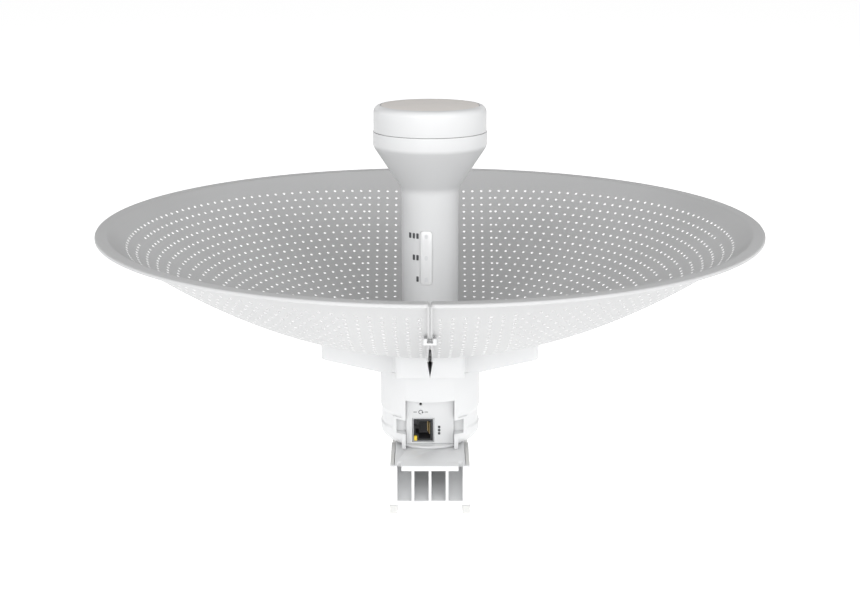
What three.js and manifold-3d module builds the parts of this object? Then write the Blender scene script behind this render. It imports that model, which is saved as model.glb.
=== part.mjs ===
// Outdoor wireless bridge: a split reflector dish on a cross bracket, a feed stem that
// carries the antenna head, a round housing with an open port bay, and a ribbed saddle
// that a mast strap pulls against a pole.
// Millimetres. +Z runs along the beam, +X is to the right of someone facing the port bay,
// and the origin lies under the centre of the saddle, level with the ends of its grip pads.
import * as THREE from 'three';
import { mergeVertices } from 'three/addons/utils/BufferGeometryUtils.js';
import Module from 'manifold-3d';

const wasm = await Module();
wasm.setup();

// ---------------------------------------------------------------- driving sizes
const FIT = 0.3; // clearance between pieces that nest or touch
const FACETS = { dish: 48, round: 36, small: 10, screw: 14 };
const DISH_RADIUS = 210;
const STEM_RADIUS = 18.2;
const HOUSING_RADIUS = STEM_RADIUS + 14.2; // leaves room for screws outside the stem's nut
const HEAD_RADIUS = 36;

const SADDLE = {
  height: 26.2,       // from the bottom bar to the deck
  legInner: 20.5,     // half the clear width between the legs
  legOuter: 25,       // half the width over the legs
  frontReach: 58,     // from the centre to the front and rear ends
  waist: 12.7,        // half the length of the strap notch
  deckThick: 3.3,
  barThick: 3,
  bridgeThick: 7.4,   // the bar that the mast strap passes over
  ribPitch: 10.75,
  ribThick: 1.8,
  lipHalf: 17.9,      // half the width of the lip at each end of the deck
  lipNotch: 8,        // how far the notches beside the lip run in
  legWall: 1.8,
  rootThick: 9,       // solid web between the strap notch and the cells
  outerCellInset: 14, // how much shallower the two outermost cells are
};
const PAD = { drop: 5.6, foot: 4.8, frontInset: 0.3, topInset: 3.4 };
const HOUSING = {
  radius: HOUSING_RADIUS, waistRadius: HOUSING_RADIUS - 0.85, bandRadius: HOUSING_RADIUS - 0.1,
  footRadius: HOUSING_RADIUS - 8, height: 49.9, wall: 2.4, floor: 1.5,
  bulgeFrom: 3.2, bulgeTo: 9, bandTop: 12, waistFrom: 13.2, waistTo: 21.3, shoulder: 23.6,
};
const BAY = {
  panelFace: 22,      // distance of the port panel from the axis
  narrowHalf: 15.6, top: 33.5,
  wideHalf: 21.6, wideFrom: 10.4, wideTo: 19.8,
  rim: 2.6,           // thickness of the bay's raised walls
  rimRadius: HOUSING_RADIUS + 0.6,   // how far the walls stand out from the axis
  ledgeRadius: HOUSING_RADIUS - 5.4, // the floor's curved front edge under the panel
  panelThick: 1.5, gasketThick: 0.6, gasketSill: 0.7, backWall: 1, windowInset: 2.6,
};
const JACK = {
  left: -11.1, width: 13.5, bottom: 3.3, height: 15.9, depth: 15, shieldWall: 0.5,
  cavityInset: 2, cavityDeep: 12, cavityLip: 1.3, latchWidth: 6.4, latchDeep: 3, latchLip: 0.8,
};
const CONTACT = { count: 8, pitch: 1.02, thick: 0.4, length: 8, rise: 1.8, strip: 1.2 };
const RESET = {
  x: -6, height: 29, holeRadius: 0.9, plungerRadius: 1.5, plungerLength: 4.2, switchHalf: 3, switchDeep: 6,
  plungerShown: 2.6,
};
const BRACKET = {
  height: 14.5, armWidth: 43.5, sideReach: 69.6, endReach: 43,
  tipDrop: 5.8,       // how far below the dish's vertex the ends of the side arms reach
  corner: 4, pocketFloor: 3, wall: 3.2,
  slotDeep: 11.8,     // the slot for the folded seam ends in a point at this depth
};
const DISH = {
  radius: DISH_RADIUS, focal: 130.8, sheet: 1, lipWidth: 7.7, edgeRoll: 2,
  seamGap: 0.6, cornerRadius: 3, flange: 2.5, flangeStop: 5,
};
const CLIP = { reach: 161, width: 7.2, length: 4.5, thick: 1.2 };
const STEM = {
  radius: STEM_RADIUS, wall: 2, tail: 20.2, flareFrom: 98, flareOut: 3.1, flareBend: 8.1,
  cupIn: 2.6, cupFrom: 123.4, cupBend: 127,
};
const COLLAR = {
  radius: STEM_RADIUS + 13.8, height: 6.5, edge: 1.2, chamfer: 1.5, crown: 0.6,
  screwCircle: STEM_RADIUS + 7.8, screwFrom: 50, screwBite: 5.7,
};
const NUT = { radius: STEM_RADIUS + 4.3, height: 8.2, inset: 1, sealThick: 1, sealLip: 1, headroom: 0.4 };
const HEAD = {
  radius: HEAD_RADIUS, capRadius: HEAD_RADIUS - 0.4, cupTop: 137.6, flareTo: 130.5, wall: 2.2, capTop: 154,
  capCorner: 4.5, discRadius: HEAD_RADIUS - 5.1, discThick: 1.3, discDome: 1.4, seamWidth: 0.7, roof: 2,
  spigotWall: 1.6, spigotDrop: 3.6, rebate: 1,
};
const BOARD = {
  thick: 1.6, face: 2.7, top: 130.6, stemHalf: STEM_RADIUS - 5.2, stemGap: 2.5,
  housingBack: HOUSING_RADIUS - 6.4, housingFront: 17, footBack: HOUSING_RADIUS - 12.4,
  shoulderFrom: 9, footTo: 12,
};
const FEED = {
  boardAt: 131, boardRadius: HEAD_RADIUS - 4.5, boardThick: 1.6,
  patchAt: 137, patchRadius: 15, patchThick: 0.8, postRadius: 1.6,
  plateAt: 146.5, plateRadius: HEAD_RADIUS - 5, plateThick: 1,
  spacerCircle: HEAD_RADIUS - 11, spacerRadius: 2.2,
};
const SIGNAL = {
  x: -2.4, middle: 59.4, pitch: 13.9, width: 7.6, height: 34.6, corner: 2,
  proud: 0.5, lensRadius: 1.3, guideThick: 1.2, lampHalf: 1.6, lampDeep: 4,
};
const SCREW = { radius: 1.5, head: 2.6, headHeight: 2 };
const HOUSING_SCREW = { circle: HOUSING_RADIUS - 5.4, from: 20, sunk: 7, boss: 3.4, bossDepth: 8, bite: 6 };
const SADDLE_SCREW = { x: 14, web: 0.7, length: 8 };
const SEAL = { slack: 0.4, width: 1, inset: 0.1 };
const CAPACITOR = { radius: 4, length: 12, y: 12, height: 22 };

// ---------------------------------------------------------------- levels that stack up
const DECK = PAD.drop + SADDLE.height;
const HOUSING_BASE = DECK + FIT;
const HOUSING_TOP = HOUSING_BASE + HOUSING.height;
const VERTEX = HOUSING_TOP + FIT + BRACKET.height;
const PANEL_BASE = DECK + FIT + HOUSING.floor + FIT;
const nutTop = VERTEX - BRACKET.height + NUT.height + NUT.inset;
const above = (height) => VERTEX + height;       // heights along the stem and the dish
const overDeck = (height) => DECK + height;      // heights in the port bay
const bowl = (r) => (r * r) / (4 * DISH.focal);  // the dish's outer surface

// ---------------------------------------------------------------- solids
function solidOf(geometry) {
  const bare = geometry.clone();
  bare.deleteAttribute('normal');
  bare.deleteAttribute('uv');
  const merged = mergeVertices(bare, 1e-5);
  const mesh = new wasm.Mesh({
    numProp: 3,
    vertProperties: new Float32Array(merged.attributes.position.array),
    triVerts: new Uint32Array(merged.index.array),
  });
  return new wasm.Manifold(mesh);
}

function geometryOf(solid) {
  const mesh = solid.getMesh();
  const geometry = new THREE.BufferGeometry();
  geometry.setAttribute('position', new THREE.BufferAttribute(mesh.vertProperties, 3));
  geometry.setIndex(new THREE.BufferAttribute(mesh.triVerts, 1));
  geometry.computeVertexNormals();
  return geometry;
}

const joined = (first, ...rest) => rest.reduce((whole, piece) => whole.add(piece), first);
const cutFrom = (body, ...tools) => tools.reduce((left, tool) => left.subtract(tool), body);

function block(x0, x1, y0, y1, z0, z1) {
  const geometry = new THREE.BoxGeometry(x1 - x0, y1 - y0, z1 - z0);
  geometry.translate((x0 + x1) / 2, (y0 + y1) / 2, (z0 + z1) / 2);
  return solidOf(geometry);
}

// A rod from a point, running `length` along +X, +Y or +Z.
function rod(radius, length, axis, x, y, z, sides = FACETS.round / 2) {
  const geometry = new THREE.CylinderGeometry(radius, radius, length, sides);
  geometry.translate(0, length / 2, 0);
  if (axis === 'X') geometry.rotateZ(-Math.PI / 2);
  if (axis === 'Z') geometry.rotateX(Math.PI / 2);
  geometry.translate(x, y, z);
  return solidOf(geometry);
}

// A closed outline of [radius, height] points turned about the Z axis.
function turned(points, segments = FACETS.round) {
  let area = 0;
  points.forEach(([r, z], i) => {
    const [nextR, nextZ] = points[(i + 1) % points.length];
    area += r * nextZ - nextR * z;
  });
  const ordered = area < 0 ? [...points].reverse() : points;
  const profile = [...ordered, ordered[0]].map(([r, z]) => new THREE.Vector2(r, z));
  const geometry = new THREE.LatheGeometry(profile, segments);
  geometry.rotateX(Math.PI / 2);
  return solidOf(geometry);
}

// An outline drawn in the plane across `axis`, given thickness from `from` to `to`.
// Outlines across X are drawn in (y, z), across Y in (x, z) and across Z in (x, y).
function prism(outline, axis, from, to, curveSegments = 12) {
  const shape = outline instanceof THREE.Shape
    ? outline
    : new THREE.Shape(outline.map(([a, b]) => new THREE.Vector2(a, b)));
  const geometry = new THREE.ExtrudeGeometry(shape, { depth: to - from, bevelEnabled: false, curveSegments });
  const X = new THREE.Vector3(1, 0, 0);
  const Y = new THREE.Vector3(0, 1, 0);
  const Z = new THREE.Vector3(0, 0, 1);
  const turn = new THREE.Matrix4();
  if (axis === 'X') turn.makeBasis(Y, Z, X).setPosition(from, 0, 0);
  if (axis === 'Y') turn.makeBasis(X, Z, Y.negate()).setPosition(0, to, 0);
  if (axis === 'Z') turn.makeTranslation(0, 0, from);
  geometry.applyMatrix4(turn);
  return solidOf(geometry);
}

function roundedRectangle(x0, x1, y0, y1, r) {
  const shape = new THREE.Shape();
  shape.moveTo(x0 + r, y0);
  shape.lineTo(x1 - r, y0);
  shape.absarc(x1 - r, y0 + r, r, -Math.PI / 2, 0, false);
  shape.lineTo(x1, y1 - r);
  shape.absarc(x1 - r, y1 - r, r, 0, Math.PI / 2, false);
  shape.lineTo(x0 + r, y1);
  shape.absarc(x0 + r, y1 - r, r, Math.PI / 2, Math.PI, false);
  shape.lineTo(x0, y0 + r);
  shape.absarc(x0 + r, y0 + r, r, Math.PI, 1.5 * Math.PI, false);
  return shape;
}

// Points along a rounded corner from one [a, b] point to another.
function bend(from, corner, to, steps = 5) {
  const curve = new THREE.QuadraticBezierCurve(
    new THREE.Vector2(...from), new THREE.Vector2(...corner), new THREE.Vector2(...to));
  return curve.getPoints(steps).map((p) => [p.x, p.y]);
}

const range = (count) => Array.from({ length: count }, (_, i) => i);
const onCircle = (radius, degrees) => {
  const angle = THREE.MathUtils.degToRad(degrees);
  return [radius * Math.cos(angle), radius * Math.sin(angle)];
};

// ---------------------------------------------------------------- finishes
const LOOKS = {
  white_shell: [0xf2f3f4, 0.45, 0],
  reflector_paint: [0xe6e7e7, 0.55, 0.1],
  grey_inlay: [0xc6c1bb, 0.5, 0],
  grip_grey: [0xbfc0be, 0.7, 0],
  clear_lens: [0xe9ecee, 0.15, 0],
  circuit_board: [0x1f6b3a, 0.6, 0],
  bare_metal: [0xa8abad, 0.35, 1],
  gold_contact: [0xd6b25a, 0.3, 1],
  black_plastic: [0x17181a, 0.5, 0],
  seal_rubber: [0x3a3b3d, 0.85, 0],
  amber_led: [0xe3c23a, 0.3, 0],
};

const bridge = new THREE.Group();

function place(name, solid, look) {
  const [color, roughness, metalness] = LOOKS[look];
  const material = new THREE.MeshStandardMaterial({ color, roughness, metalness });
  const mesh = new THREE.Mesh(geometryOf(solid), material);
  mesh.name = name;
  bridge.add(mesh);
}

// ---------------------------------------------------------------- screws
const screwSpots = {
  collar: range(4).map((i) => {
    const quarter = Math.floor(i / 2) * 180 + (i % 2 ? 180 - 2 * COLLAR.screwFrom : 0);
    return onCircle(COLLAR.screwCircle, COLLAR.screwFrom + quarter);
  }),
  housing: range(4).map((i) => {
    const quarter = Math.floor(i / 2) * 180 + (i % 2 ? 180 - 2 * HOUSING_SCREW.from : 0);
    return onCircle(HOUSING_SCREW.circle, HOUSING_SCREW.from + quarter);
  }),
  saddle: [[1, 1], [-1, 1], [-1, -1], [1, -1]].map(([a, b]) => [
    a * SADDLE_SCREW.x, b * (SADDLE.waist + SADDLE_SCREW.web + FIT + SCREW.radius)]),
};

// A pan-head screw whose head rests at `seat` and whose thread runs down.
function screw([x, y], seat, length) {
  const { radius, head, headHeight } = SCREW;
  return joined(
    rod(head, headHeight, 'Z', x, y, seat, FACETS.screw),
    rod(radius, length + 1, 'Z', x, y, seat - length, FACETS.small));
}

function screwHole([x, y], bottom, top) {
  return rod(SCREW.radius + FIT, top - bottom, 'Z', x, y, bottom, FACETS.small);
}

// ---------------------------------------------------------------- saddle
function cellCutter(middle, half, deepest) {
  const floor = PAD.drop + SADDLE.barThick;
  const roof = DECK - SADDLE.deckThick;
  const outer = -SADDLE.frontReach - 1;
  const outline = [
    [outer, floor],
    ...bend([-SADDLE.frontReach + SADDLE.barThick, floor], [deepest - 4, floor + 3], [deepest, roof - 3], 6),
    [deepest, roof],
    [outer, roof],
  ];
  return prism(outline, 'X', middle - half, middle + half);
}

function endBlock() {
  const { legInner, legOuter, legWall, frontReach, waist, deckThick } = SADDLE;
  const { lipHalf, lipNotch, ribPitch, ribThick, rootThick, outerCellInset } = SADDLE;
  const inner = legInner + legWall;
  const webAt = -(waist + rootThick);
  let body = joined(
    block(-inner, inner, -frontReach, -waist, PAD.drop, DECK),
    block(-legOuter, legOuter, -frontReach, -frontReach + PAD.topInset - FIT, PAD.drop, DECK));
  const cellHalf = (ribPitch - ribThick) / 2;
  const outerHalf = (legInner - ribPitch - ribThick / 2) / 2;
  for (const side of [-1, 1]) {
    body = cutFrom(
      body,
      cellCutter(side * ribPitch / 2, cellHalf, webAt),
      cellCutter(side * (legInner - outerHalf), outerHalf, webAt - outerCellInset));
    const notchInner = Math.min(side * lipHalf, side * legInner);
    const notchOuter = Math.max(side * lipHalf, side * legInner);
    body = cutFrom(body, block(
      notchInner, notchOuter, -frontReach - 1, -frontReach + lipNotch, DECK - deckThick - 1, DECK + 1));
  }
  return body;
}

const halfTurn = (solid) => solid.rotate([0, 0, 180]);

function saddleBody() {
  const { legInner, legWall, waist, deckThick, bridgeThick } = SADDLE;
  const inner = legInner + legWall;
  const front = endBlock();
  const whole = joined(
    front, halfTurn(front),
    block(-inner, inner, -waist - 1, waist + 1, DECK - deckThick, DECK),
    block(-inner, inner, -waist - 1, waist + 1, PAD.drop, PAD.drop + bridgeThick));
  const holes = screwSpots.saddle.map((spot) => screwHole(spot, DECK - SADDLE_SCREW.length, DECK + 1));
  return cutFrom(whole, ...holes);
}

// One grip pad: a plate on the leg's outer side with a foot turned in under the leg.
function gripPad(side, end) {
  const { legInner, legOuter, legWall, frontReach, waist } = SADDLE;
  const plateInner = legInner + legWall + FIT;
  const footTop = PAD.drop - FIT;
  const yNear = waist;
  const yFar = frontReach - PAD.topInset;
  const pad = joined(
    block(plateInner, legOuter, yNear, yFar, 0, DECK - FIT),
    block(legInner, legInner + PAD.foot, yNear, frontReach - PAD.frontInset, 0, footTop));
  const sided = side < 0 ? pad.mirror([1, 0, 0]) : pad;
  return end < 0 ? sided.mirror([0, 1, 0]) : sided;
}

place('pole_saddle', saddleBody(), 'white_shell');
for (const [end, endName] of [[-1, 'front'], [1, 'rear']]) {
  for (const [side, sideName] of [[-1, 'left'], [1, 'right']]) {
    place(`grip_pad_${endName}_${sideName}`, gripPad(side, end), 'grip_grey');
  }
}

// ---------------------------------------------------------------- rear housing
function housingSkin(inset, floorAt, topAt) {
  const { radius, waistRadius, bandRadius, footRadius } = HOUSING;
  const { bulgeFrom, bulgeTo, bandTop, waistFrom, waistTo, shoulder } = HOUSING;
  const foot = footRadius - inset / 3;
  return turned([
    [0, floorAt],
    ...bend(
      [foot, floorAt], [bandRadius - inset, overDeck(bulgeFrom) + inset],
      [bandRadius - inset, overDeck(bulgeTo)], 5),
    [bandRadius - inset, overDeck(bandTop)],
    [waistRadius - inset, overDeck(waistFrom)],
    [waistRadius - inset, overDeck(waistTo)],
    [radius - inset, overDeck(shoulder)],
    [radius - inset, topAt],
    [0, topAt],
  ]);
}

function bayPrism(grow, from, to, front, back) {
  return joined(
    block(-BAY.narrowHalf - grow, BAY.narrowHalf + grow, -front, -back, overDeck(from), overDeck(to)),
    block(-BAY.wideHalf - grow, BAY.wideHalf + grow, -front, -back,
      overDeck(BAY.wideFrom - grow / 2), overDeck(BAY.wideTo + grow / 2)));
}

function housingShell() {
  const { floor, wall } = HOUSING;
  const { narrowHalf, panelFace, panelThick, gasketThick, backWall, ledgeRadius, rim, rimRadius } = BAY;
  const seat = panelFace - panelThick - gasketThick - 2 * FIT;
  const floorTop = HOUSING_BASE + floor;
  const reach = rimRadius + 5;
  const rimRound = rod(rimRadius, BAY.top + FIT, 'Z', 0, 0, HOUSING_BASE, FACETS.round);
  const bayRim = bayPrism(rim, FIT, BAY.top, reach, panelFace - 4).intersect(rimRound);
  const innerWalls = bayPrism(rim, FIT, BAY.top + rim, reach, seat - backWall);
  const cavity = housingSkin(wall, floorTop, HOUSING_TOP + 1).subtract(innerWalls);
  const bossBase = HOUSING_TOP - HOUSING_SCREW.bossDepth;
  const bosses = screwSpots.housing.map(([x, y]) => rod(
    HOUSING_SCREW.boss, HOUSING_SCREW.bossDepth, 'Z', x, y, bossBase));
  const skin = housingSkin(0, HOUSING_BASE, HOUSING_TOP);
  const floorDisc = rod(ledgeRadius, floor, 'Z', 0, 0, HOUSING_BASE, FACETS.round);
  const recess = bayPrism(0, 0, BAY.top, reach, seat).subtract(floorDisc);
  const { windowInset } = BAY;
  const windowCut = block(
    -narrowHalf + windowInset, narrowHalf - windowInset, -panelFace, -seat + backWall + 1,
    floorTop + 1, overDeck(BAY.top - windowInset));
  return cutFrom(
    joined(cutFrom(joined(skin, bayRim), cavity), ...bosses.map((boss) => boss.intersect(skin))),
    recess, windowCut,
    ...screwSpots.housing.map((spot) => screwHole(spot, bossBase + 1, HOUSING_TOP + 1)),
    ...screwSpots.saddle.map((spot) => screwHole(spot, HOUSING_BASE - 1, floorTop + 1)));
}

place('rear_housing', housingShell(), 'white_shell');

// ---------------------------------------------------------------- port bay fittings
const PANEL_BACK = BAY.panelFace - BAY.panelThick;
const panelHalf = BAY.narrowHalf - FIT;

function portPanel() {
  const { left, width, bottom, height } = JACK;
  const plate = block(
    -panelHalf, panelHalf, -BAY.panelFace, -PANEL_BACK, PANEL_BASE, overDeck(BAY.top - FIT));
  const jackCut = block(
    left - FIT, left + width + FIT, -BAY.panelFace - 1, -PANEL_BACK + 1,
    overDeck(bottom - FIT), overDeck(bottom + height + FIT));
  const pinhole = rod(
    RESET.holeRadius, BAY.panelThick + 2, 'Y', RESET.x, -BAY.panelFace - 1, overDeck(RESET.height));
  return cutFrom(plate, jackCut, pinhole);
}

function portGasket() {
  const back = PANEL_BACK - FIT - BAY.gasketThick;
  const inset = BAY.windowInset - FIT;
  const outer = block(
    -panelHalf, panelHalf, -PANEL_BACK + FIT, -back, PANEL_BASE, overDeck(BAY.top - FIT));
  const hole = block(
    -panelHalf + inset, panelHalf - inset, -PANEL_BACK - 1, -back + 1,
    PANEL_BASE + BAY.gasketSill, overDeck(BAY.top - BAY.windowInset));
  return outer.subtract(hole);
}

place('port_panel', portPanel(), 'white_shell');
place('port_gasket', portGasket(), 'seal_rubber');

// ---------------------------------------------------------------- ethernet jack, turned on its side
const jackRight = JACK.left + JACK.width;
const jackTop = JACK.bottom + JACK.height;
const jackFront = -BAY.panelFace + FIT;
const jackBack = jackFront + JACK.depth;
const jackMiddle = overDeck(JACK.bottom + JACK.height / 2);
const insertInset = JACK.shieldWall + FIT;

function jackShield() {
  const outer = block(JACK.left, jackRight, jackFront, jackBack, overDeck(JACK.bottom), overDeck(jackTop));
  const hollow = block(
    JACK.left + JACK.shieldWall, jackRight - JACK.shieldWall, jackFront - 1, jackBack - JACK.shieldWall,
    overDeck(JACK.bottom + JACK.shieldWall), overDeck(jackTop - JACK.shieldWall));
  return outer.subtract(hollow);
}

const insertLeft = JACK.left + insertInset;
const insertRight = jackRight - insertInset;
const insertBottom = overDeck(JACK.bottom + insertInset);
const insertTop = overDeck(jackTop - insertInset);
const cavityHalf = JACK.height / 2 - JACK.cavityInset;
const plugRight = insertRight - JACK.cavityLip;
const plugLeft = insertLeft + JACK.latchDeep;
const LED_POCKET = { width: 2.2, height: 3.2, deep: 2.4 };

function jackInsert() {
  const body = block(insertLeft, insertRight, jackFront, jackBack - insertInset, insertBottom, insertTop);
  const cavityEnd = jackFront + JACK.cavityDeep;
  const plugRoom = block(
    plugLeft, plugRight, jackFront - 1, cavityEnd, jackMiddle - cavityHalf, jackMiddle + cavityHalf);
  const latchRoom = block(
    insertLeft + JACK.latchLip, plugLeft + 1, jackFront - 1, cavityEnd,
    jackMiddle - JACK.latchWidth / 2, jackMiddle + JACK.latchWidth / 2);
  const pockets = [insertBottom, insertTop - LED_POCKET.height].map((z) => block(
    insertLeft - 1, insertLeft + LED_POCKET.width, jackFront - 1, jackFront + LED_POCKET.deep,
    z - 1, z + LED_POCKET.height + 1));
  return cutFrom(body, plugRoom, latchRoom, ...pockets);
}

place('jack_shield', jackShield(), 'bare_metal');
place('jack_insert', jackInsert(), 'black_plastic');

// Eight sprung wires held side by side in one strip at the back of the socket.
function jackContacts() {
  const half = CONTACT.thick / 2;
  const near = jackFront + 3;
  const far = near + CONTACT.length;
  const top = plugRight - FIT;
  const wires = range(CONTACT.count).map((i) => {
    const z = jackMiddle + (i - (CONTACT.count - 1) / 2) * CONTACT.pitch;
    return prism(
      [[top - CONTACT.thick, near], [top, near], [top, far], [top - CONTACT.rise, far]],
      'Z', z - half, z + half);
  });
  const stripHalf = CONTACT.count * CONTACT.pitch / 2;
  const strip = block(
    top - CONTACT.rise, top, far - CONTACT.strip / 2, far + CONTACT.strip / 2,
    jackMiddle - stripHalf, jackMiddle + stripHalf);
  return joined(strip, ...wires);
}

place('jack_contacts', jackContacts(), 'gold_contact');

[insertBottom, insertTop - LED_POCKET.height].forEach((z, i) => {
  const lamp = block(
    insertLeft, insertLeft + LED_POCKET.width - FIT, jackFront, jackFront + LED_POCKET.deep - FIT,
    z + (i ? FIT : 0), z + LED_POCKET.height - (i ? 0 : FIT));
  place(i ? 'jack_led_upper' : 'jack_led_lower', lamp, i ? 'clear_lens' : 'amber_led');
});

// ---------------------------------------------------------------- reset switch
const plungerFront = -PANEL_BACK + FIT + BAY.gasketThick + FIT;
const switchFront = plungerFront + RESET.plungerShown;
const switchBore = rod(
  RESET.plungerRadius + FIT, RESET.plungerLength, 'Y', RESET.x, switchFront - 1, overDeck(RESET.height));
const switchBody = block(
  RESET.x - RESET.switchHalf, BOARD.face - FIT, switchFront, switchFront + RESET.switchDeep,
  overDeck(RESET.height - RESET.switchHalf), overDeck(RESET.height + RESET.switchHalf));
place('reset_switch', switchBody.subtract(switchBore), 'black_plastic');
place('reset_button', rod(
  RESET.plungerRadius, RESET.plungerLength, 'Y', RESET.x, plungerFront, overDeck(RESET.height)),
'black_plastic');

// ---------------------------------------------------------------- circuit board and what it carries
const boardBack = BOARD.face + BOARD.thick;
const boardBase = HOUSING_BASE + HOUSING.floor + FIT;
const stemFoot = above(-STEM.tail);
const mainBoard = joined(
  block(
    BOARD.face, boardBack, -BOARD.housingFront, BOARD.housingBack,
    overDeck(BOARD.shoulderFrom), stemFoot - BOARD.stemGap),
  block(BOARD.face, boardBack, -BOARD.housingFront, BOARD.footBack, boardBase, overDeck(BOARD.footTo)),
  block(BOARD.face, boardBack, -BOARD.stemHalf, BOARD.stemHalf, boardBase, above(BOARD.top)));
place('main_board', mainBoard, 'circuit_board');

// Boxy parts soldered to the board: the side they sit on, how tall they stand off it,
// and their extent along Y and Z.
const soldered = {
  processor_shield: { look: 'bare_metal', side: 1, tall: 3, y: [-13, 12], z: [overDeck(16), overDeck(38)] },
  heat_spreader: { look: 'bare_metal', side: 1, tall: 6, y: [13, 23], z: [overDeck(10), overDeck(38)] },
  radio_shield: { look: 'bare_metal', side: 1, tall: 3, y: [-10, 10], z: [above(16), above(52)] },
  amplifier_shield: { look: 'bare_metal', side: 1, tall: 3, y: [-10, 10], z: [above(62), above(92)] },
  lan_transformer: { look: 'black_plastic', side: -1, tall: 6, y: [-3, 11], z: [overDeck(6), overDeck(18)] },
  power_inductor: { look: 'black_plastic', side: -1, tall: 5, y: [12, 20], z: [overDeck(8), overDeck(16)] },
};
for (const [name, { look, side, tall, y, z }] of Object.entries(soldered)) {
  const x0 = side > 0 ? boardBack + FIT : BOARD.face - FIT - tall;
  place(name, block(x0, x0 + tall, ...y, ...z), look);
}
place('bulk_capacitor', rod(
  CAPACITOR.radius, CAPACITOR.length, 'Z', BOARD.face - FIT - CAPACITOR.radius, CAPACITOR.y,
  overDeck(CAPACITOR.height)), 'black_plastic');

// ---------------------------------------------------------------- cross bracket
function bowlCutter() {
  const reach = BRACKET.sideReach + 10;
  const curve = range(8).map((i) => [reach * i / 7, above(bowl(reach * i / 7) - FIT)]);
  return turned([...curve, [reach, above(60)], [0, above(60)]]);
}

function crossBracket() {
  const { armWidth, sideReach, endReach, tipDrop, corner, height, pocketFloor, wall, slotDeep } = BRACKET;
  const half = armWidth / 2;
  const base = above(-height);
  const top = above(bowl(sideReach) + 5);
  const past = sideReach + 1;
  const taper = [
    [-past, top], [-past, above(-tipDrop)], [-HOUSING.radius, base],
    [HOUSING.radius, base], [past, above(-tipDrop)], [past, top],
  ];
  const sideArms = prism(
    roundedRectangle(-sideReach, sideReach, -half, half, corner), 'Z', base, top, 6).intersect(
    prism(taper, 'Y', -half - 1, half + 1));
  const endArms = prism(
    roundedRectangle(-half, half, -endReach, endReach, corner), 'Z', base, top, 6).intersect(
    prism(taper, 'X', -half - 1, half + 1));
  const hub = rod(HOUSING.radius, top - base, 'Z', 0, 0, base, FACETS.round);
  const pockets = [-1, 1].map((side) => {
    const inner = side * (HOUSING.radius + wall);
    const outer = side * (sideReach - wall);
    return block(
      Math.min(inner, outer), Math.max(inner, outer), -half + wall, half - wall, above(-pocketFloor), top);
  });
  const slotHalf = DISH.seamGap / 2 + DISH.sheet + FIT;
  const hemDepth = DISH.flange + FIT;
  const slotOutline = [
    [0, above(-slotDeep)], [slotHalf, above(-hemDepth)], [slotHalf, top],
    [-slotHalf, top], [-slotHalf, above(-hemDepth)],
  ];
  const slots = [-1, 1].map((end) => {
    const near = end * (STEM.radius + wall);
    const far = end * (endReach + 1);
    return prism(slotOutline, 'Y', Math.min(near, far), Math.max(near, far));
  });
  const bore = rod(STEM.radius + FIT, top - base + 2, 'Z', 0, 0, base - 1, FACETS.round);
  const nutRoomTop = nutTop + 2 * FIT + NUT.sealThick + NUT.headroom;
  const nutRoom = rod(NUT.radius + FIT, nutRoomTop - base + 1, 'Z', 0, 0, base - 1, FACETS.round);
  const housingHeads = screwSpots.housing.map(([x, y]) => rod(
    SCREW.head + FIT, top - base, 'Z', x, y, above(-HOUSING_SCREW.sunk), FACETS.screw));
  return cutFrom(
    joined(hub, sideArms, endArms), bowlCutter(), ...pockets, ...slots, bore, nutRoom, ...housingHeads,
    ...screwSpots.housing.map((spot) => screwHole(spot, base - 1, top)),
    ...screwSpots.collar.map((spot) => screwHole(spot, above(-NUT.height), top)));
}

place('reflector_bracket', crossBracket(), 'white_shell');
screwSpots.housing.forEach((spot, i) => {
  const length = BRACKET.height - HOUSING_SCREW.sunk + HOUSING_SCREW.bite;
  place(`housing_screw_${i + 1}`, screw(spot, above(-HOUSING_SCREW.sunk + FIT), length), 'bare_metal');
});
screwSpots.saddle.forEach((spot, i) => {
  place(`saddle_screw_${i + 1}`, screw(
    spot, HOUSING_BASE + HOUSING.floor + FIT, SADDLE_SCREW.length), 'bare_metal');
});

// ---------------------------------------------------------------- reflector halves
function reflectorRound() {
  const { radius, sheet, lipWidth, edgeRoll } = DISH;
  const first = STEM.radius + FIT;
  const lipAt = radius - lipWidth;
  const stations = range(12).map((i) => first + (lipAt - first) * i / 11);
  const lipTop = bowl(lipAt) + sheet;
  return turned([
    ...stations.map((r) => [r, above(bowl(r))]),
    [radius - sheet, above(bowl(lipAt))],
    [radius - sheet, above(lipTop - edgeRoll)],
    [radius, above(lipTop - edgeRoll)],
    [radius, above(lipTop)],
    [lipAt, above(lipTop)],
    ...stations.slice(0, -1).reverse().map((r) => [r, above(bowl(r) + sheet)]),
  ], FACETS.dish);
}

// The strip folded down along the seam, from the hub to just inside the lip.
function seamFlange(end) {
  const { radius, lipWidth, sheet, flange, flangeStop, seamGap } = DISH;
  const near = STEM.radius + BRACKET.wall + FIT;
  const far = radius - lipWidth - flangeStop;
  const steps = range(13).map((i) => near + (far - near) * i / 12);
  const edge = steps.map((r) => [end * r, above(bowl(r) + sheet / 2)]);
  const hem = steps.slice(0, -1).reverse().map((r) => [end * r, above(bowl(r) - flange)]);
  const outline = [...edge, ...hem];
  return prism(end > 0 ? outline.reverse() : outline, 'X', seamGap / 2, seamGap / 2 + sheet);
}

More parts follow.
